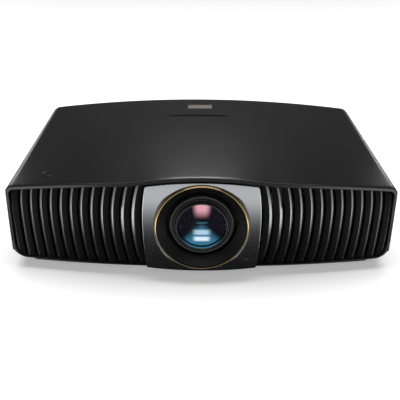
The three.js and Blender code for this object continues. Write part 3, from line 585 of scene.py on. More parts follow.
def moulded(name, colour, roughness, cells=1800.0, relief=0.04, rubbed=0.06, rub=0.3, dust=0.02, gloss=0.5):
    """Moulded plastic: grain, relief millimetres deep, rubbed corners and a trace of dust."""
    made, tree, shader = new_material(name)
    texture = placed_group(tree, grain, {"Cells per Metre": cells, "Roughness": roughness})
    tone = placed_group(
        tree,
        wear,
        {"Colour": colour, "Rubbed Colour": grey(rubbed), "Rub": rub, "Dust": dust},
    )
    bump = tree_node(
        tree,
        "ShaderNodeBump",
        {"Height": texture.outputs["Height"], "Strength": 0.35, "Distance": relief * mm},
    )
    join(shader, {
        "Roughness": texture.outputs["Roughness"],
        "Base Color": tone.outputs["Colour"],
        "Normal": bump.outputs["Normal"],
    })
    shader.inputs["Specular IOR Level"].default_value = gloss
    return made


satin_black = moulded("satin_black", grey(0.006), 0.25, dust=0.004, gloss=0.25)

cover_stations = [("wall", t) for t in steps(8)]
cover_stations += [("edge", t) for t in steps(14)[1:]]
cover_stations += [("roof", t) for t in steps(46)[1:]]
cover_loop = shell_rings(40, lip, rim, ledge)
cover = shell_piece("cover_shell", cover_stations, cover_loop, cover_low.z, satin_black)
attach(cover, "root")
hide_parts("top_cover")

# ---- Bottom case ----
# The tray that the cover closes: its sides curl in with a wide bend to a flat belly,
# and a lower plinth carries the feet. The same satin black, with a coarser grain.
case_black = moulded("case_black", grey(0.012), 0.46, cells=1100.0)
case_stations = [("lower wall", t) for t in reversed(steps(3))]
case_stations += [("bend", t) for t in reversed(steps(16)[:-1])]
case_stations += [("foot", t) for t in reversed(steps(30)[:-1])]
case_loop = shell_rings(24, lip, rim, ledge)
case = shell_piece("case_shell", case_stations, case_loop, case_high.z, case_black)
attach(case, "root")
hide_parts("bottom_case")

plinth_inset = 26 * mm
plinth_setback = 7 * mm
plinth_bow = 19 * mm
plinth_corner = 10 * mm
plinth_chamfer = 8 * mm
plinth_rounding = 1.2 * mm
plinth_half = half - plinth_inset
plinth_back = rear_edge(half) - 9 * mm


def plinth_edge(x):
    return front_edge(half) + plinth_setback - plinth_bow * (1 - (x / plinth_half) ** 2)


def plinth_outline(inset):
    side = plinth_half - inset
    line = Rounded(lambda x: plinth_edge(x) + inset, side, plinth_corner - inset, -1)
    xs = steps(30, 0, line.touch) + [
        side - line.radius + line.radius * math.cos(line.reach * (1 - t)) for t in steps(9)[1:]
    ]
    ahead_points = [Vector((x, line.at(x), 0)) for x in xs]
    back = plinth_back - inset
    ahead_points += [Vector((side, back - plinth_chamfer, 0)), Vector((side - plinth_chamfer, back, 0))]
    mirrored = [Vector((-p.x, p.y, 0)) for p in reversed(ahead_points)]
    return ahead_points + mirrored[:-1]


plinth_levels = [(0, 3 * mm), (0, -plinth_height + plinth_rounding)]
for k in range(1, 4):
    a = k * math.pi / 6
    plinth_levels.append((
        plinth_rounding * (1 - math.cos(a)),
        -plinth_height + plinth_rounding * (1 - math.sin(a)),
    ))
plinth_rows = [
    [p + Vector((0, 0, shell_foot + drop)) for p in plinth_outline(inset)] for inset, drop in plinth_levels
]
plinth = woven_piece("plinth", plinth_rows, woven(plinth_rows) + end_caps(plinth_rows), case_black)
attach(plinth, "root")

# ---- Roof inlays ----
# A thin metal badge with nothing on it and two gloss windows, each in a shallow pocket of the roof.
# They follow the roof and stand a fraction of a millimetre proud.


def brushed(name, colour, roughness, lines=(60.0, 1400.0, 1400.0), streak=0.12, relief=0.02):
    """Metal with a fine drawn grain: lines gives its frequency along X, Y and Z, relief its depth in mm."""
    made, tree, shader = new_material(name)
    place = tree_node(tree, "ShaderNodeTexCoord")
    stretch = tree_node(tree, "ShaderNodeMapping", {"Vector": place.outputs["Object"], "Scale": lines})
    drawn = tree_node(
        tree,
        "ShaderNodeTexNoise",
        {"Vector": stretch.outputs["Vector"], "Scale": 1.0, "Detail": 4.0},
    )
    spread = tree_node(
        tree,
        "ShaderNodeMapRange",
        {"Value": drawn.outputs[0], "To Min": roughness - streak / 2, "To Max": roughness + streak / 2},
    )
    rubbed = tuple(min(1, c * 1.3) for c in colour[:3]) + (1,)
    tone = placed_group(tree, wear, {"Colour": colour, "Rubbed Colour": rubbed, "Rub": 0.4, "Dust": 0.0})
    bump = tree_node(
        tree,
        "ShaderNodeBump",
        {"Height": drawn.outputs[0], "Strength": 0.3, "Distance": relief * mm},
    )
    join(shader, {
        "Roughness": spread.outputs["Result"],
        "Base Color": tone.outputs["Colour"],
        "Normal": bump.outputs["Normal"],
    })
    shader.inputs["Metallic"].default_value = 1.0
    return made


badge_metal = brushed("badge_metal", (0.17, 0.155, 0.13, 1), 0.42)
gloss_black = moulded("gloss_black", grey(0.005), 0.26, cells=300.0, relief=0.006, dust=0.01)
window_black = moulded("window_black", grey(0.002), 0.12, cells=300.0, relief=0.004, dust=0.0, gloss=0.12)


def inlay(name, node, material, across=40):
    low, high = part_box(node)
    stand = 0.2 * mm
    rounding = 0.35 * mm
    pocket = 0.6 * mm
    rows = []
    for x in steps(across, low.x, high.x):
        inner_x = min(max(x, low.x + rounding), high.x - rounding)
        row = []
        for y in steps(9, low.y, high.y):
            near = min(x - low.x, high.x - x, y - low.y, high.y - y)
            drop = rounding - math.sqrt(max(0, rounding ** 2 - max(0, rounding - near) ** 2))
            row.append(Vector((x, y, roof(inner_x, y) + stand - drop)))
        row += [Vector((x, y, roof(x, y) - pocket)) for y in (high.y, low.y)]
        rows.append(row)
    made = woven_piece(name, rows, end_caps(rows) + woven(rows), material)
    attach(made, "root")
    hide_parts(node)
    return made


inlay("badge", "badge_plate", badge_metal)
inlay("name_window", "nameplate", window_black)
inlay("indicator_strip", "indicator_window", window_black)

# ---- Grilles ----
# Thirteen upright fins stand each side of the lens in the housing's front opening.
# Each fin has a bevel down its outer edge, and the fins bow outward past the bezel at top and foot.
bezel_waist = 77.5 * mm
fascia_setback = 3 * mm
top_lean = 4 * mm
fin_count = 13
fin_gap = 3 * mm
fin_depth = 12 * mm
fin_bevel_across = 3.3 * mm
fin_bevel_in = 1.5 * mm
fin_bow_inner = 7.5 * mm
fin_bow_outer = 2 * mm
outermost = half - rim - gap
fin_pitch = (outermost - bezel_waist) / fin_count
fin_levels = 44


def node_tree(name, inputs):
    """A Geometry Nodes tree with named sizes; returns it, its readings and its geometry socket."""
    tree = bpy.data.node_groups.new(name, "GeometryNodeTree")
    tree.interface.new_socket("Geometry", in_out="INPUT", socket_type="NodeSocketGeometry")
    for label, value in inputs.items():
        kind = "NodeSocketInt" if isinstance(value, int) else "NodeSocketFloat"
        socket = tree.interface.new_socket(label, in_out="INPUT", socket_type=kind)
        socket.default_value = value
    tree.interface.new_socket("Geometry", in_out="OUTPUT", socket_type="NodeSocketGeometry")
    entry = tree.nodes.new("NodeGroupInput")
    readings = {label: Reading(tree, entry.outputs[label]) for label in inputs}
    return tree, readings, entry.outputs["Geometry"]


def finish_tree(tree, geometry, material, extra=()):
    """Realizes the copies and paints them; extra holds (material, selection) pairs."""
    real = tree_node(tree, "GeometryNodeRealizeInstances", {"Geometry": geometry})
    painted = tree_node(
        tree,
        "GeometryNodeSetMaterial",
        {"Geometry": real.outputs[0], "Material": material},
    )
    for other, selection in extra:
        painted = tree_node(
            tree,
            "GeometryNodeSetMaterial",
            {"Geometry": painted.outputs[0], "Selection": selection, "Material": other},
        )
    leave = tree.nodes.new("NodeGroupOutput")
    tree.links.new(painted.outputs[0], leave.inputs[0])


def grown(name, blank, tree, values, sharp=35):
    """Runs the tree on a blank mesh and returns the plain mesh that it makes."""
    source = bpy.data.objects.new(name + "_blank", blank)
    bpy.context.collection.objects.link(source)
    modifier = source.modifiers.new("shape", "NODES")
    modifier.node_group = tree
    for item in tree.interface.items_tree:
        if item.in_out == "INPUT" and item.name in values:
            modifier[item.identifier] = values[item.name]
    bpy.context.view_layer.update()
    ready = source.evaluated_get(bpy.context.evaluated_depsgraph_get())
    mesh = bpy.data.meshes.new_from_object(ready)
    mesh.name = name
    source.modifiers.remove(modifier)
    bpy.data.objects.remove(source)
    made = bpy.data.objects.new(name, mesh)
    bpy.context.collection.objects.link(made)
    smooth(made, sharp)
    return made


def fin_blank():
    """One fin laid out flat: X across it, Y into the housing, Z from 0 at its foot to 1 at its top."""
    face_width = fin_pitch - fin_gap
    nose = 0.4 * mm
    loop = [(0, fin_depth), (0, nose)]
    loop += [(nose * (1 - math.cos(a)), nose * (1 - math.sin(a))) for a in (0.5, 1.05)]
    loop += [(nose, 0), (face_width * 0.35, 0), (face_width - fin_bevel_across, 0)]
    bevel_from = len(loop) - 1
    loop += [(face_width - 0.1 * mm, fin_bevel_in - 0.1 * mm), (face_width, fin_bevel_in + 0.1 * mm)]
    loop += [(face_width, fin_depth)]
    rows = [[(x, y, z) for x, y in loop] for z in steps(fin_levels)]
    sides = woven(rows)
    caps = [tuple(reversed(cap)) for cap in end_caps(rows)]
    mesh = bpy.data.meshes.new("fin_blank")
    mesh.from_pydata([p for row in rows for p in row], [], sides + caps)
    marks = mesh.attributes.new("stripe", "BOOLEAN", "FACE")
    marks.data.foreach_set("value", [k % len(loop) == bevel_from for k in range(len(sides))] + [False, False])
    return mesh


fin_sizes = {
    "Fins": fin_count,
    "Side": 1.0,
    "First Fin": bezel_waist + fin_gap,
    "Pitch": fin_pitch,
    "Inner Bow": fin_bow_inner,
    "Outer Bow": fin_bow_outer,
    "Half Width": half,
    "Front": front,
    "Front Bow": front_bow,
    "Lower Front": front_edge(half) + lower_setback,
    "Lower Bow": lower_bow,
    "Height": height,
    "Front Fall": front_fall,
    "Hump": hump,
    "Hump Half": hump_half,
    "Lip": lip,
    "Belly": belly,
    "Foot": shell_foot + ledge,
    "Foot Radius": foot_radius - rim,
    "Top Radius": roof_radius - rim,
    "Outermost": outermost,
    "Setback": fascia_setback,
    "Lean": top_lean,
}
fin_tree, size, fin_shape = node_tree("fins", fin_sizes)
row_of_fins = tree_node(fin_tree, "GeometryNodePoints", {"Count": size["Fins"]})
fin_index = tree_node(fin_tree, "GeometryNodeInputIndex")
numbered = tree_node(
    fin_tree,
    "GeometryNodeStoreNamedAttribute",
    {"Geometry": row_of_fins.outputs[0], "Name": "fin", "Value": fin_index.outputs[0]},
    data_type="FLOAT",
    domain="POINT",
)
copies = tree_node(
    fin_tree,
    "GeometryNodeInstanceOnPoints",
    {"Points": numbered.outputs[0], "Instance": fin_shape},
)
loose = tree_node(fin_tree, "GeometryNodeRealizeInstances", {"Geometry": copies.outputs[0]})
fin_number = Reading(
    fin_tree,
    tree_node(fin_tree, "GeometryNodeInputNamedAttribute", {"Name": "fin"}, data_type="FLOAT").outputs[0],
)
blank_place = tree_node(fin_tree, "GeometryNodeInputPosition")
blank_parts = tree_node(fin_tree, "ShaderNodeSeparateXYZ", {"Vector": blank_place.outputs[0]})
across, inward, upward_share = (Reading(fin_tree, blank_parts.outputs[i]) for i in range(3))


straight = size["First Fin"] + size["Pitch"] * fin_number + across
middle = size["First Fin"] + size["Pitch"] * (fin_number + 0.36)


def roof_front(x):
    swelling = (x / size["Hump Half"]).size().least(1.0)
    swelling = (swelling * swelling * -1.0 + 1.0) ** 1.2
    outward_share = (x / size["Half Width"]) ** 2.0
    crown = size["Height"] - size["Hump"] - size["Front Fall"] * outward_share
    return crown + size["Hump"] * swelling - size["Lip"]


def corner_rise(x, radius):
    past = (x - (size["Outermost"] - radius)).most(0.0).least(radius)
    return radius - (radius * radius - past * past).root()


foot_at = size["Foot"] + corner_rise(straight, size["Foot Radius"])
top_at = roof_front(straight) - corner_rise(straight, size["Top Radius"])
up = foot_at + (top_at - foot_at) * upward_share
lean = clamped((up - size["Belly"]) / (roof_front(middle) - size["Belly"])) ** 2.0
tucked = clamped((up - size["Belly"]) / (size["Foot"] - size["Belly"])) ** 2.0
bow = size["Inner Bow"] + (size["Outer Bow"] - size["Inner Bow"]) * (fin_number / (size["Fins"] - 1.0))
sideways = straight - bow * lean.most(tucked)
off_centre = (sideways / size["Half Width"]) ** 2.0
upper_arc = size["Front"] + size["Front Bow"] * off_centre
lower_arc = size["Lower Front"] - size["Lower Bow"] * (off_centre * -1.0 + 1.0)
face_at = upper_arc + (lower_arc - upper_arc) * tucked + size["Setback"] + size["Lean"] * lean
fin_place = tree_node(
    fin_tree,
    "ShaderNodeCombineXYZ",
    {"X": sideways * size["Side"], "Y": face_at + inward, "Z": up},
)
bent = tree_node(
    fin_tree,
    "GeometryNodeSetPosition",
    {"Geometry": loose.outputs[0], "Position": fin_place.outputs[0]},
)
is_left = tree_node(
    fin_tree,
    "FunctionNodeCompare",
    {"A": size["Side"], "B": 0.0},
    data_type="FLOAT",
    operation="LESS_THAN",
)
facing_out = tree_node(
    fin_tree,
    "GeometryNodeFlipFaces",
    {"Mesh": bent.outputs[0], "Selection": is_left.outputs[0]},
)
stripe_mark = tree_node(fin_tree, "GeometryNodeInputNamedAttribute", {"Name": "stripe"}, data_type="BOOLEAN")
fin_black = moulded("fin_black", grey(0.004), 0.5, cells=1500.0, rubbed=0.02, dust=0.002, gloss=0.06)
fin_edge = brushed("fin_edge", grey(0.19), 0.3, lines=(900.0, 900.0, 60.0), streak=0.03, relief=0.001)
finish_tree(fin_tree, facing_out.outputs[0], fin_black, [(fin_edge, stripe_mark.outputs[0])])

for side_name, side in (("left", -1.0), ("right", 1.0)):
    fins = grown(side_name + "_fins", fin_blank(), fin_tree, {**fin_sizes, "Side": side})
    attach(fins, "root")
    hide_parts(side_name + "_grille")


def fascia_top(x):
    return roof(x, front_edge(x)) - lip


def front_lean(x, z):
    return min(1, max(0, share(z, belly, fascia_top(x)))) ** 2


def fascia_y(x, z):
    low_share = tuck(z)
    return mix(front_edge(x), lower_edge(x), low_share) + fascia_setback + top_lean * front_lean(x, z)


rail_depth = 4 * mm
rail_edge = 0.5 * mm


def rail(name, low, high, side):
    """A level bar behind the fins that joins them: low and high give its edges at each x."""
    rows = []
    for x in steps(24, bezel_waist - 2 * mm, outermost - 1 * mm):
        y = fascia_y(x, (low(x) + high(x)) / 2) + fin_depth
        corners = [(y - rail_depth, low(x)), (y, low(x)), (y, high(x)), (y - rail_depth, high(x))]
        rows.append([Vector((side * x, at, z)) for at, z in corners])
    made = mesh_object(name, [p for row in rows for p in row], end_caps(rows) + woven(rows), fin_black)
    face_outwards(made)
    bevel = made.modifiers.new("soft_edges", "BEVEL")
    bevel.width = rail_edge
    bevel.segments = 2
    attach(made, "root")
    return made


for side_name, side in (("left", -1), ("right", 1)):
    middle_foot = belly - 25 * mm
    rail(side_name + "_foot_rail", lambda x: shell_foot + ledge + 1 * mm, lambda x: shell_foot + 7 * mm, side)
    rail(side_name + "_middle_rail", lambda x: middle_foot, lambda x: middle_foot + 5 * mm, side)
    rail(side_name + "_top_rail", lambda x: fascia_top(x) - 8 * mm, lambda x: fascia_top(x) - 1 * mm, side)

# ---- Lens bezel ----
# A satin gunmetal pressing round the lens: widest at the belly, drawn in above and below,
# and rolled under at its foot. It sits a millimetre ahead of the fins.
bezel_top_draw = 6.5 * mm
bezel_foot_draw = 5 * mm
bezel_thickness = 3 * mm
bezel_proud = 1 * mm
bezel_top_bulge = 1.5 * mm
bezel_foot_bulge = 3 * mm
bezel_foot_bow = 3.4 * mm
bezel_roll = 5 * mm
shadow_gap = 3.4 * mm
ring_low, ring_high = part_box("lens_trim_ring")
axis_x = (ring_low.x + ring_high.x) / 2
axis_z = (ring_low.z + ring_high.z) / 2
ring_radius = (ring_high.x - ring_low.x) / 2
bezel_foot = shell_foot + ledge + gap


def bezel_half(z):
    return bezel_waist - bezel_top_draw * front_lean(0, z) - bezel_foot_draw * tuck(z)


def foot_line(x):
    """The bezel's lower edge bows down under the lens."""
    return bezel_foot - 1 * mm + bezel_foot_bow * (x / bezel_waist) ** 2


def bezel_y(x, z):
    bulge = bezel_top_bulge * front_lean(0, z) + bezel_foot_bulge * tuck(z)
    under = min(bezel_roll, max(0, foot_line(x) + bezel_roll - z))
    rolled = bezel_roll - math.sqrt(max(0, bezel_roll ** 2 - under ** 2))
    return front_edge(x) + fascia_setback - bezel_proud + bulge + rolled


def bezel_reach(angle):
    """How far the bezel's outline is from the lens axis in a direction."""
    inside, outside = ring_radius, 200 * mm
    for _ in range(40):
        reach = (inside + outside) / 2
        x, z = axis_x + reach * math.cos(angle), axis_z + reach * math.sin(angle)
        held = abs(x) < bezel_half(z) and foot_line(x) < z < fascia_top(x) - shadow_gap
        inside, outside = (reach, outside) if held else (inside, reach)
    return inside


def bezel_point(angle, radius, back):
    x = axis_x + radius * math.cos(angle)
    z = axis_z + radius * math.sin(angle)
    return Vector((x, bezel_y(x, z) + back, z))


gunmetal = brushed(
    "gunmetal",
    (0.31, 0.315, 0.33, 1),
    0.14,
    lines=(260.0, 260.0, 260.0),
    streak=0.01,
    relief=0.0,
)


def bezel_plate():
    turns = 288
    hole = ring_radius + gap
    lift = 0.5 * mm
    ease = 0.15 * mm
    rows = []
    for i in range(turns):
        angle = 2 * math.pi * i / turns
        reach = bezel_reach(angle)
        run = [(hole, bezel_thickness), (hole, lift), (hole + ease, lift * 0.3)]
        for t in steps(14):
            outer = max(reach - lift, hole + lift * 1.01)
            run.append((mix(hole + lift, outer, 1 - (1 - t) ** 1.6), 0))
        run += [(reach - ease, lift * 0.3), (reach, lift), (reach, bezel_thickness)]
        rows.append([bezel_point(angle, radius, back) for radius, back in run])
    return woven_piece("bezel_plate", rows, woven(rows, around=True), gunmetal, 50)


bezel = bezel_plate()
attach(bezel, "root")
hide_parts("lens_bezel")

# ---- Remote eye ----
# A small domed window of gloss plastic in the bezel's lower corner, over the remote control's receiver.
# Like the lens group that follows, it is made as one profile spun on its own axis.


def turned(name, profile, axis, centre, material, segments=128, sharp=32):
    """Spins a closed profile of (radius, along) points about "y" or "z" through centre."""
    rows = []
    for i in range(segments):
        a = 2 * math.pi * i / segments
        row = []
        for radius, along in profile:
            u, v = centre[0] + radius * math.cos(a), centre[1] + radius * math.sin(a)
            row.append((u, along, v) if axis == "y" else (u, v, along))
        rows.append(row)
    return woven_piece(name, rows, woven(rows, around=True), material, sharp)


def arc(centre, radius, start, end, count=5):
    """Points of a rounded corner in a profile, between two angles in degrees."""
    angles = [math.radians(a) for a in steps(count, start, end)]
    return [(centre[0] + radius * math.cos(a), centre[1] + radius * math.sin(a)) for a in angles]


window_low, window_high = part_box("ir_window")
window_centre = ((window_low.x + window_high.x) / 2, (window_low.z + window_high.z) / 2)
window_radius = (window_high.x - window_low.x) / 2
window_front = window_low.y
dome_depth = 0.5 * mm
window_profile = [(1e-6, window_high.y), (window_radius, window_high.y)]
window_profile += [(window_radius, window_front + dome_depth)]
for t in steps(8)[1:]:
    window_profile.append((
        window_radius * math.cos(t * math.pi / 2),
        window_front + dome_depth * (1 - math.sin(t * math.pi / 2)),
    ))
window_profile[-1] = (1e-6, window_front)
ir_window = turned("remote_eye", window_profile, "y", window_centre, gloss_black, 40)
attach(ir_window, "root")
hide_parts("ir_window")

# ---- Power button ----
# A round satin key in a gloss ring, let into the roof's left corner.
# Its face is dished for a fingertip, and its stem goes down to a switch.
trim_low, trim_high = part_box("button_trim_ring")
key_low, key_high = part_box("power_button")
button_centre = ((key_low.x + key_high.x) / 2, (key_low.y + key_high.y) / 2)
key_radius = (key_high.x - key_low.x) / 2
trim_radius = (trim_high.x - trim_low.x) / 2
trim_bore = key_radius + gap
trim_rounding = 0.5 * mm
trim_easing = 0.3 * mm
trim_profile = [(trim_bore, trim_low.z), (trim_radius, trim_low.z)]
trim_profile += arc((trim_radius - trim_rounding, trim_high.z - trim_rounding), trim_rounding, 0, 90)
trim_profile += arc((trim_bore + trim_easing, trim_high.z - trim_easing), trim_easing, 90, 180)
trim_ring = turned("key_surround", trim_profile, "z", button_centre, gloss_black, 72)
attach(trim_ring, "root")
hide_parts("button_trim_ring")

dish = 0.35 * mm
key_rounding = 0.5 * mm
key_skirt = 3.2 * mm
stem_radius = 2.5 * mm
key_profile = [(1e-6, key_high.z - dish)]
for t in steps(8)[1:]:
    r = (key_radius - key_rounding) * t
    key_profile.append((r, key_high.z - dish * (1 - t ** 2)))
key_profile += arc((key_radius - key_rounding, key_high.z - key_rounding), key_rounding, 80, 0)
key_profile += [(key_radius, key_high.z - key_skirt), (stem_radius, key_high.z - key_skirt)]
key_profile += [(stem_radius, key_low.z), (1e-6, key_low.z)]
power_key = turned("power_key", key_profile, "z", button_centre, satin_black, 72)
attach(power_key, "power_button")
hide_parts("power_button")

# ---- Lens ring and well ----
# A slim polished gold ring frames the opening, its bore given black as painted shade. Inside it a ribbed
# black cone, moulded in one piece, leads down to the lens and stops stray light from showing on its walls.
ring_width = 1.8 * mm
ring_front = ring_low.y
ring_back = ring_high.y
ring_bore = ring_radius - ring_width
lens_axis = (axis_x, axis_z)
ring_rounding = 1.2 * mm
bore_rounding = 0.15 * mm
ring_profile = [(ring_bore, ring_back), (ring_radius, ring_back)]
ring_profile += arc((ring_radius - ring_rounding, ring_front + ring_rounding), ring_rounding, 0, -90, 8)
ring_profile += arc((ring_bore + bore_rounding, ring_front + bore_rounding), bore_rounding, -90, -180, 3)
gold = brushed("gold", (0.52, 0.38, 0.18, 1), 0.2)
well_black = moulded(
    "well_black",
    grey(0.004),
    0.5,
    cells=2200.0,
    rubbed=0.01,
    dust=0.0,
    gloss=0.25,
)
trim = turned("lens_ring", ring_profile, "y", lens_axis, gold, 192)
# The faces of the ring's bore take the black well finish: painted shade that keeps the bore dark.
trim.data.materials.append(well_black)
for face in trim.data.polygons:
    from_axis = Vector((face.center.x - axis_x, face.center.z - axis_z)).length
    if from_axis < ring_bore + 0.8 * bore_rounding:
        face.material_index = 1
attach(trim, "root")
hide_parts("lens_trim_ring")

well_low, well_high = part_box("lens_well")
well_mouth = (well_high.x - well_low.x) / 2
well_front = well_low.y
well_back = well_high.y
well_width = 12 * mm
well_depth = 11 * mm
well_wall = 2 * mm
well_radius = well_mouth - well_width
cone_start = Vector((well_mouth - 0.6 * mm, well_front))
cone_end = Vector((well_radius, well_front + well_depth))
well_profile = [(well_mouth, well_front + 3.5 * mm), (well_mouth, well_front + 0.4 * mm)]
well_profile += [(well_mouth - 0.3 * mm, well_front), tuple(cone_start), tuple(cone_end)]
well_profile += [(well_radius, well_back), (well_radius + well_wall, well_back)]
well_profile += [(well_radius + well_wall, well_front + well_depth + 3 * mm)]
well = turned("lens_well_cone", well_profile, "y", lens_axis, well_black, 160, 20)
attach(well, "root")
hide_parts("lens_well")


def rib_blank():
    """One rib of the cone, above the lens axis: X across it, from the cone's mouth to its foot."""
    into_wall = Vector((-(cone_end - cone_start).y, (cone_end - cone_start).x)).normalized()
    points = []
    for along, half_base in ((0.04, 0.62 * mm), (0.97, 0.5 * mm)):
        rooted = cone_start.lerp(cone_end, along) + into_wall * -0.3 * mm
        crest = rooted + into_wall * 0.95 * mm
        half_crest = half_base * 0.45
        points += [(-half_base, rooted.y, rooted.x), (half_base, rooted.y, rooted.x)]
        points += [(half_crest, crest.y, crest.x), (-half_crest, crest.y, crest.x)]
    faces = [(0, 1, 2, 3), (7, 6, 5, 4), (0, 4, 5, 1), (1, 5, 6, 2), (2, 6, 7, 3), (3, 7, 4, 0)]
    mesh = bpy.data.meshes.new("rib_blank")
    mesh.from_pydata(points, [], faces)
    return mesh


rib_sizes = {"Ribs": 132, "Axis X": axis_x, "Axis Z": axis_z}
rib_tree, rib_size, rib_shape = node_tree("well_ribs", rib_sizes)
rib_points = tree_node(rib_tree, "GeometryNodePoints", {"Count": rib_size["Ribs"]})
rib_number = Reading(rib_tree, tree_node(rib_tree, "GeometryNodeInputIndex").outputs[0])
rib_turn = rib_number * (2 * math.pi) / rib_size["Ribs"]
rib_facing = tree_node(rib_tree, "ShaderNodeCombineXYZ", {"Y": rib_turn})
ribs_round = tree_node(
    rib_tree,
    "GeometryNodeInstanceOnPoints",
    {"Points": rib_points.outputs[0], "Instance": rib_shape, "Rotation": rib_facing.outputs[0]},
)
rib_centre = tree_node(rib_tree, "ShaderNodeCombineXYZ", {"X": rib_size["Axis X"], "Z": rib_size["Axis Z"]})
ribs_placed = tree_node(
    rib_tree,
    "GeometryNodeTransform",
    {"Geometry": ribs_round.outputs[0], "Translation": rib_centre.outputs[0]},
)
finish_tree(rib_tree, ribs_placed.outputs[0], well_black)
well_ribs = grown("lens_well_ribs", rib_blank(), rib_tree, rib_sizes, 20)
face_outwards(well_ribs)
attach(well_ribs, "root")

# ---- Lens barrel and front cell ----
# Black anodised tubes. The barrel shifts with the carriage and the front cell slides inside it to focus.
# A short cone on the cell holds the glass ahead of the barrel's rim, and a seal closes the gap to the well.
barrel_low, barrel_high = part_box("lens_barrel")
barrel_radius = (barrel_high.x - barrel_low.x) / 2
barrel_front = barrel_low.y
barrel_bore = barrel_radius - 3.5 * mm
barrel_step_at = ring_front + 50 * mm
rim_rounding = 0.9 * mm
rim_inside = 0.6 * mm
slim_radius = barrel_radius - 4.5 * mm
slim_bore = slim_radius - 5 * mm
barrel_black = moulded("barrel_black", grey(0.014), 0.34, cells=2600.0, rub=0.5, dust=0.0)
barrel_profile = [(slim_bore, barrel_high.y), (slim_radius, barrel_high.y), (slim_radius, barrel_step_at)]
barrel_profile += [(barrel_radius, barrel_step_at)]
barrel_profile += arc((barrel_radius - rim_rounding, barrel_front + rim_rounding), rim_rounding, 0, -90, 6)
barrel_profile += arc((barrel_bore + rim_inside, barrel_front + rim_inside), rim_inside, -90, -180, 5)
barrel_profile += [(barrel_bore, barrel_step_at - 2 * mm), (slim_bore, barrel_step_at - 2 * mm)]
barrel = turned("barrel_tube", barrel_profile, "y", lens_axis, barrel_black, 144)
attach(barrel, "h_carriage")
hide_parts("lens_barrel")

seal_front = well_back + 0.6 * mm
seal_reach = well_radius + 6 * mm
seal_bore = barrel_radius + 0.05 * mm
seal_back = seal_front + 1.2 * mm
seal_profile = [(seal_bore, seal_front), (seal_reach, seal_front)]
seal_profile += [(seal_reach, seal_back), (seal_bore, seal_back)]
seal = turned("light_seal", seal_profile, "y", lens_axis, well_black, 96)
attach(seal, "h_carriage")

cell_low, cell_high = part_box("front_lens_cell")
glass_low, glass_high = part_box("front_lens")
cell_radius = (cell_high.x - cell_low.x) / 2
cell_front = cell_low.y
glass_radius = (glass_high.x - glass_low.x) / 2
glass_sag = 6 * mm
glass_edge_at = glass_low.y + glass_sag
glass_bore = glass_radius + gap
cell_land = 1.6 * mm
cone_foot = barrel_front + 1 * mm
cell_bore = cell_radius - 2.5 * mm
cell_profile = [(cell_bore, cell_high.y), (cell_radius, cell_high.y), (cell_radius, cone_foot)]
cell_profile += [(cell_radius - 1.2 * mm, cone_foot - 1.6 * mm)]
cell_profile += [(cell_radius - 1.8 * mm, cone_foot - 1.7 * mm)]
land_edge = glass_radius + cell_land
cell_profile += arc((land_edge - 0.3 * mm, cell_front + 0.7 * mm), 0.7 * mm, -10, -90, 5)
cell_profile += [(glass_bore + 0.3 * mm, cell_front), (glass_bore, cell_front + 0.4 * mm)]
cell_profile += [(glass_bore, glass_high.y + 1 * mm), (cell_bore, glass_high.y + 1 * mm)]
cell = turned("front_cell_tube", cell_profile, "y", lens_axis, barrel_black, 144, 25)
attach(cell, "front_cell")
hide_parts("front_lens_cell")

# ---- Lens elements ----
# The domed front glass is bloomed, so that it gives back almost nothing itself.
# Behind it the second element glows with painted reflections though it is no lamp: a pink highlight above,
# and below a blue fan with two pale bands.
lens_glass, _, lens_shader = new_material("lens_glass")
lens_shader.inputs["Base Color"].default_value = (0.93, 0.96, 1.0, 1)
lens_shader.inputs["Transmission Weight"].default_value = 1.0
lens_shader.inputs["Metallic"].default_value = 0.0
lens_shader.inputs["IOR"].default_value = 1.16
lens_shader.inputs["Specular Tint"].default_value = (0.03, 0.02, 0.025, 1)
lens_shader.inputs["Roughness"].default_value = 0.0


def dome_profile(radius, edge_from, edge, sag, rings=18):
    ball = (radius ** 2 + sag ** 2) / (2 * sag)
    spread = math.asin(radius / ball)
    outline = [(1e-6, edge_from + edge), (radius, edge_from + edge)]
    for t in reversed(steps(rings)):
        a = spread * t
        outline.append((max(1e-6, ball * math.sin(a)), edge_from - sag + ball * (1 - math.cos(a))))
    return outline


glass_thickness = glass_high.y - glass_edge_at
front_glass = turned(
    "front_glass",
    dome_profile(glass_radius, glass_edge_at, glass_thickness, glass_sag),
    "y",
    lens_axis,
    lens_glass,
    128,
)
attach(front_glass, "front_cell")
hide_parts("front_lens")

lens_reflection_paint, painted_reflection_tree, painted_reflection_shader = new_material("painted_lens_reflections")
inner_place = tree_node(painted_reflection_tree, "ShaderNodeTexCoord")
inner_parts = tree_node(painted_reflection_tree, "ShaderNodeSeparateXYZ", {"Vector": inner_place.outputs["Object"]})
glass_side = ((Reading(painted_reflection_tree, inner_parts.outputs[0]) - axis_x) / glass_radius).size()
glass_up = (Reading(painted_reflection_tree, inner_parts.outputs[2]) - axis_z) / glass_radius


# Painted reflections: masks for a pink highlight, a blue fan, two pale bands and a faint arc, given as glow.
painted_pink_highlight = soft(glass_up, 0.22, 0.72) * soft(glass_side - glass_up * 0.12, 0.34, 0.04)
painted_fan_edge = glass_side + glass_up * 0.9
painted_blue_reflection = soft(painted_fan_edge, 0.30, -0.25) * soft(glass_up, 0.16, -0.12)
painted_upper_band = soft((glass_up + 0.33).size(), 0.17, 0.05) * soft(glass_side, 0.42, 0.18)
painted_lower_band = soft((glass_up + 0.64).size(), 0.15, 0.05) * soft(glass_side, 0.40, 0.20)
painted_arc_reflection = soft((glass_up - 0.10).size(), 0.06, 0.01) * soft(glass_side, 0.3, 0.1)
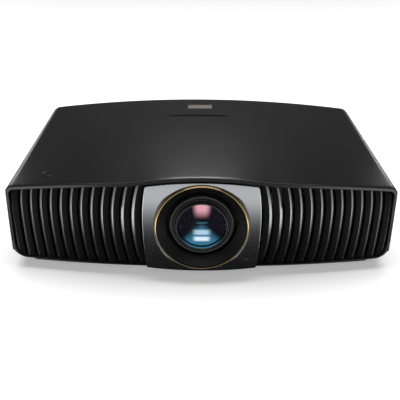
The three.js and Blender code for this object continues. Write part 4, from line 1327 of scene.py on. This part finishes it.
# The glow colour is near black, plus each painted reflection in its own tint.
painted_reflection_colour = (0.006, 0.005, 0.008, 1)
painted_reflection_colour = tinted(painted_reflection_tree, painted_reflection_colour, painted_pink_highlight, (0.80, 0.38, 0.43))
painted_reflection_colour = tinted(painted_reflection_tree, painted_reflection_colour, painted_blue_reflection, (0.035, 0.17, 0.27))
painted_reflection_colour = tinted(painted_reflection_tree, painted_reflection_colour, painted_arc_reflection, (0.03, 0.11, 0.16))
painted_reflection_colour = tinted(painted_reflection_tree, painted_reflection_colour, painted_upper_band, (0.42, 0.50, 0.52))
painted_reflection_colour = tinted(painted_reflection_tree, painted_reflection_colour, painted_lower_band, (0.75, 0.72, 0.70))
# The painted reflections go into Emission, so this element glows as if it reflected its surroundings.
painted_reflection_tree.links.new(painted_reflection_colour, painted_reflection_shader.inputs["Emission Color"])
painted_reflection_shader.inputs["Emission Strength"].default_value = 1.0
painted_reflection_shader.inputs["Base Color"].default_value = (0.004, 0.004, 0.005, 1)
painted_reflection_shader.inputs["Metallic"].default_value = 0.0
painted_reflection_shader.inputs["Specular IOR Level"].default_value = 0.0
painted_reflection_shader.inputs["Roughness"].default_value = 0.12

second_radius = glass_radius - 1.2 * mm
second_front = glass_high.y + 1.5 * mm
second_sag = 2 * mm
second_edge = 3 * mm
second_glass = turned(
    "second_glass",
    dome_profile(second_radius, second_front + second_sag, second_edge, second_sag),
    "y",
    lens_axis,
    lens_reflection_paint,
    96,
)
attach(second_glass, "front_cell")

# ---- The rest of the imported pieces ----
# Plates, screws, fans, boards and sockets keep the shapes they came with and get their real finishes:
# zinc-plated steel, drawn aluminium, rubber feet, and green boards with pale gears by them.
steel = brushed("steel", grey(0.42), 0.32, lines=(300.0, 300.0, 300.0))
aluminium = brushed("aluminium", grey(0.55), 0.42, lines=(80.0, 900.0, 900.0))
rubber = moulded("rubber", grey(0.018), 0.85, cells=900.0, rub=0.1)
filter_mesh = moulded("filter_mesh", grey(0.06), 0.95, cells=500.0, relief=0.2)
gear_plastic = moulded("gear_plastic", grey(0.62, 0.03), 0.5, rubbed=0.7)
circuit_board = moulded("circuit_board", (0.01, 0.09, 0.045, 1), 0.45, cells=700.0, rubbed=0.2)
finish_of_slot = {
    "satin_black": satin_black,
    "case_black": case_black,
    "fin_black": fin_black,
    "gunmetal": gunmetal,
    "gold": gold,
    "well_black": well_black,
    "barrel_black": barrel_black,
    "lens_glass": lens_glass,
    "gloss_black": gloss_black,
    "steel": steel,
    "aluminium": aluminium,
    "circuit_board": circuit_board,
    "rubber": rubber,
    "filter_mesh": filter_mesh,
    "gear_plastic": gear_plastic,
}
slot_of_node = {row["node"]: row["material_slot"] for row in frame["record"]["subparts"]}
for name, node in frame["nodes"].items():
    finish = finish_of_slot[slot_of_node[name]]
    for place in node.material_slots:
        place.material = finish
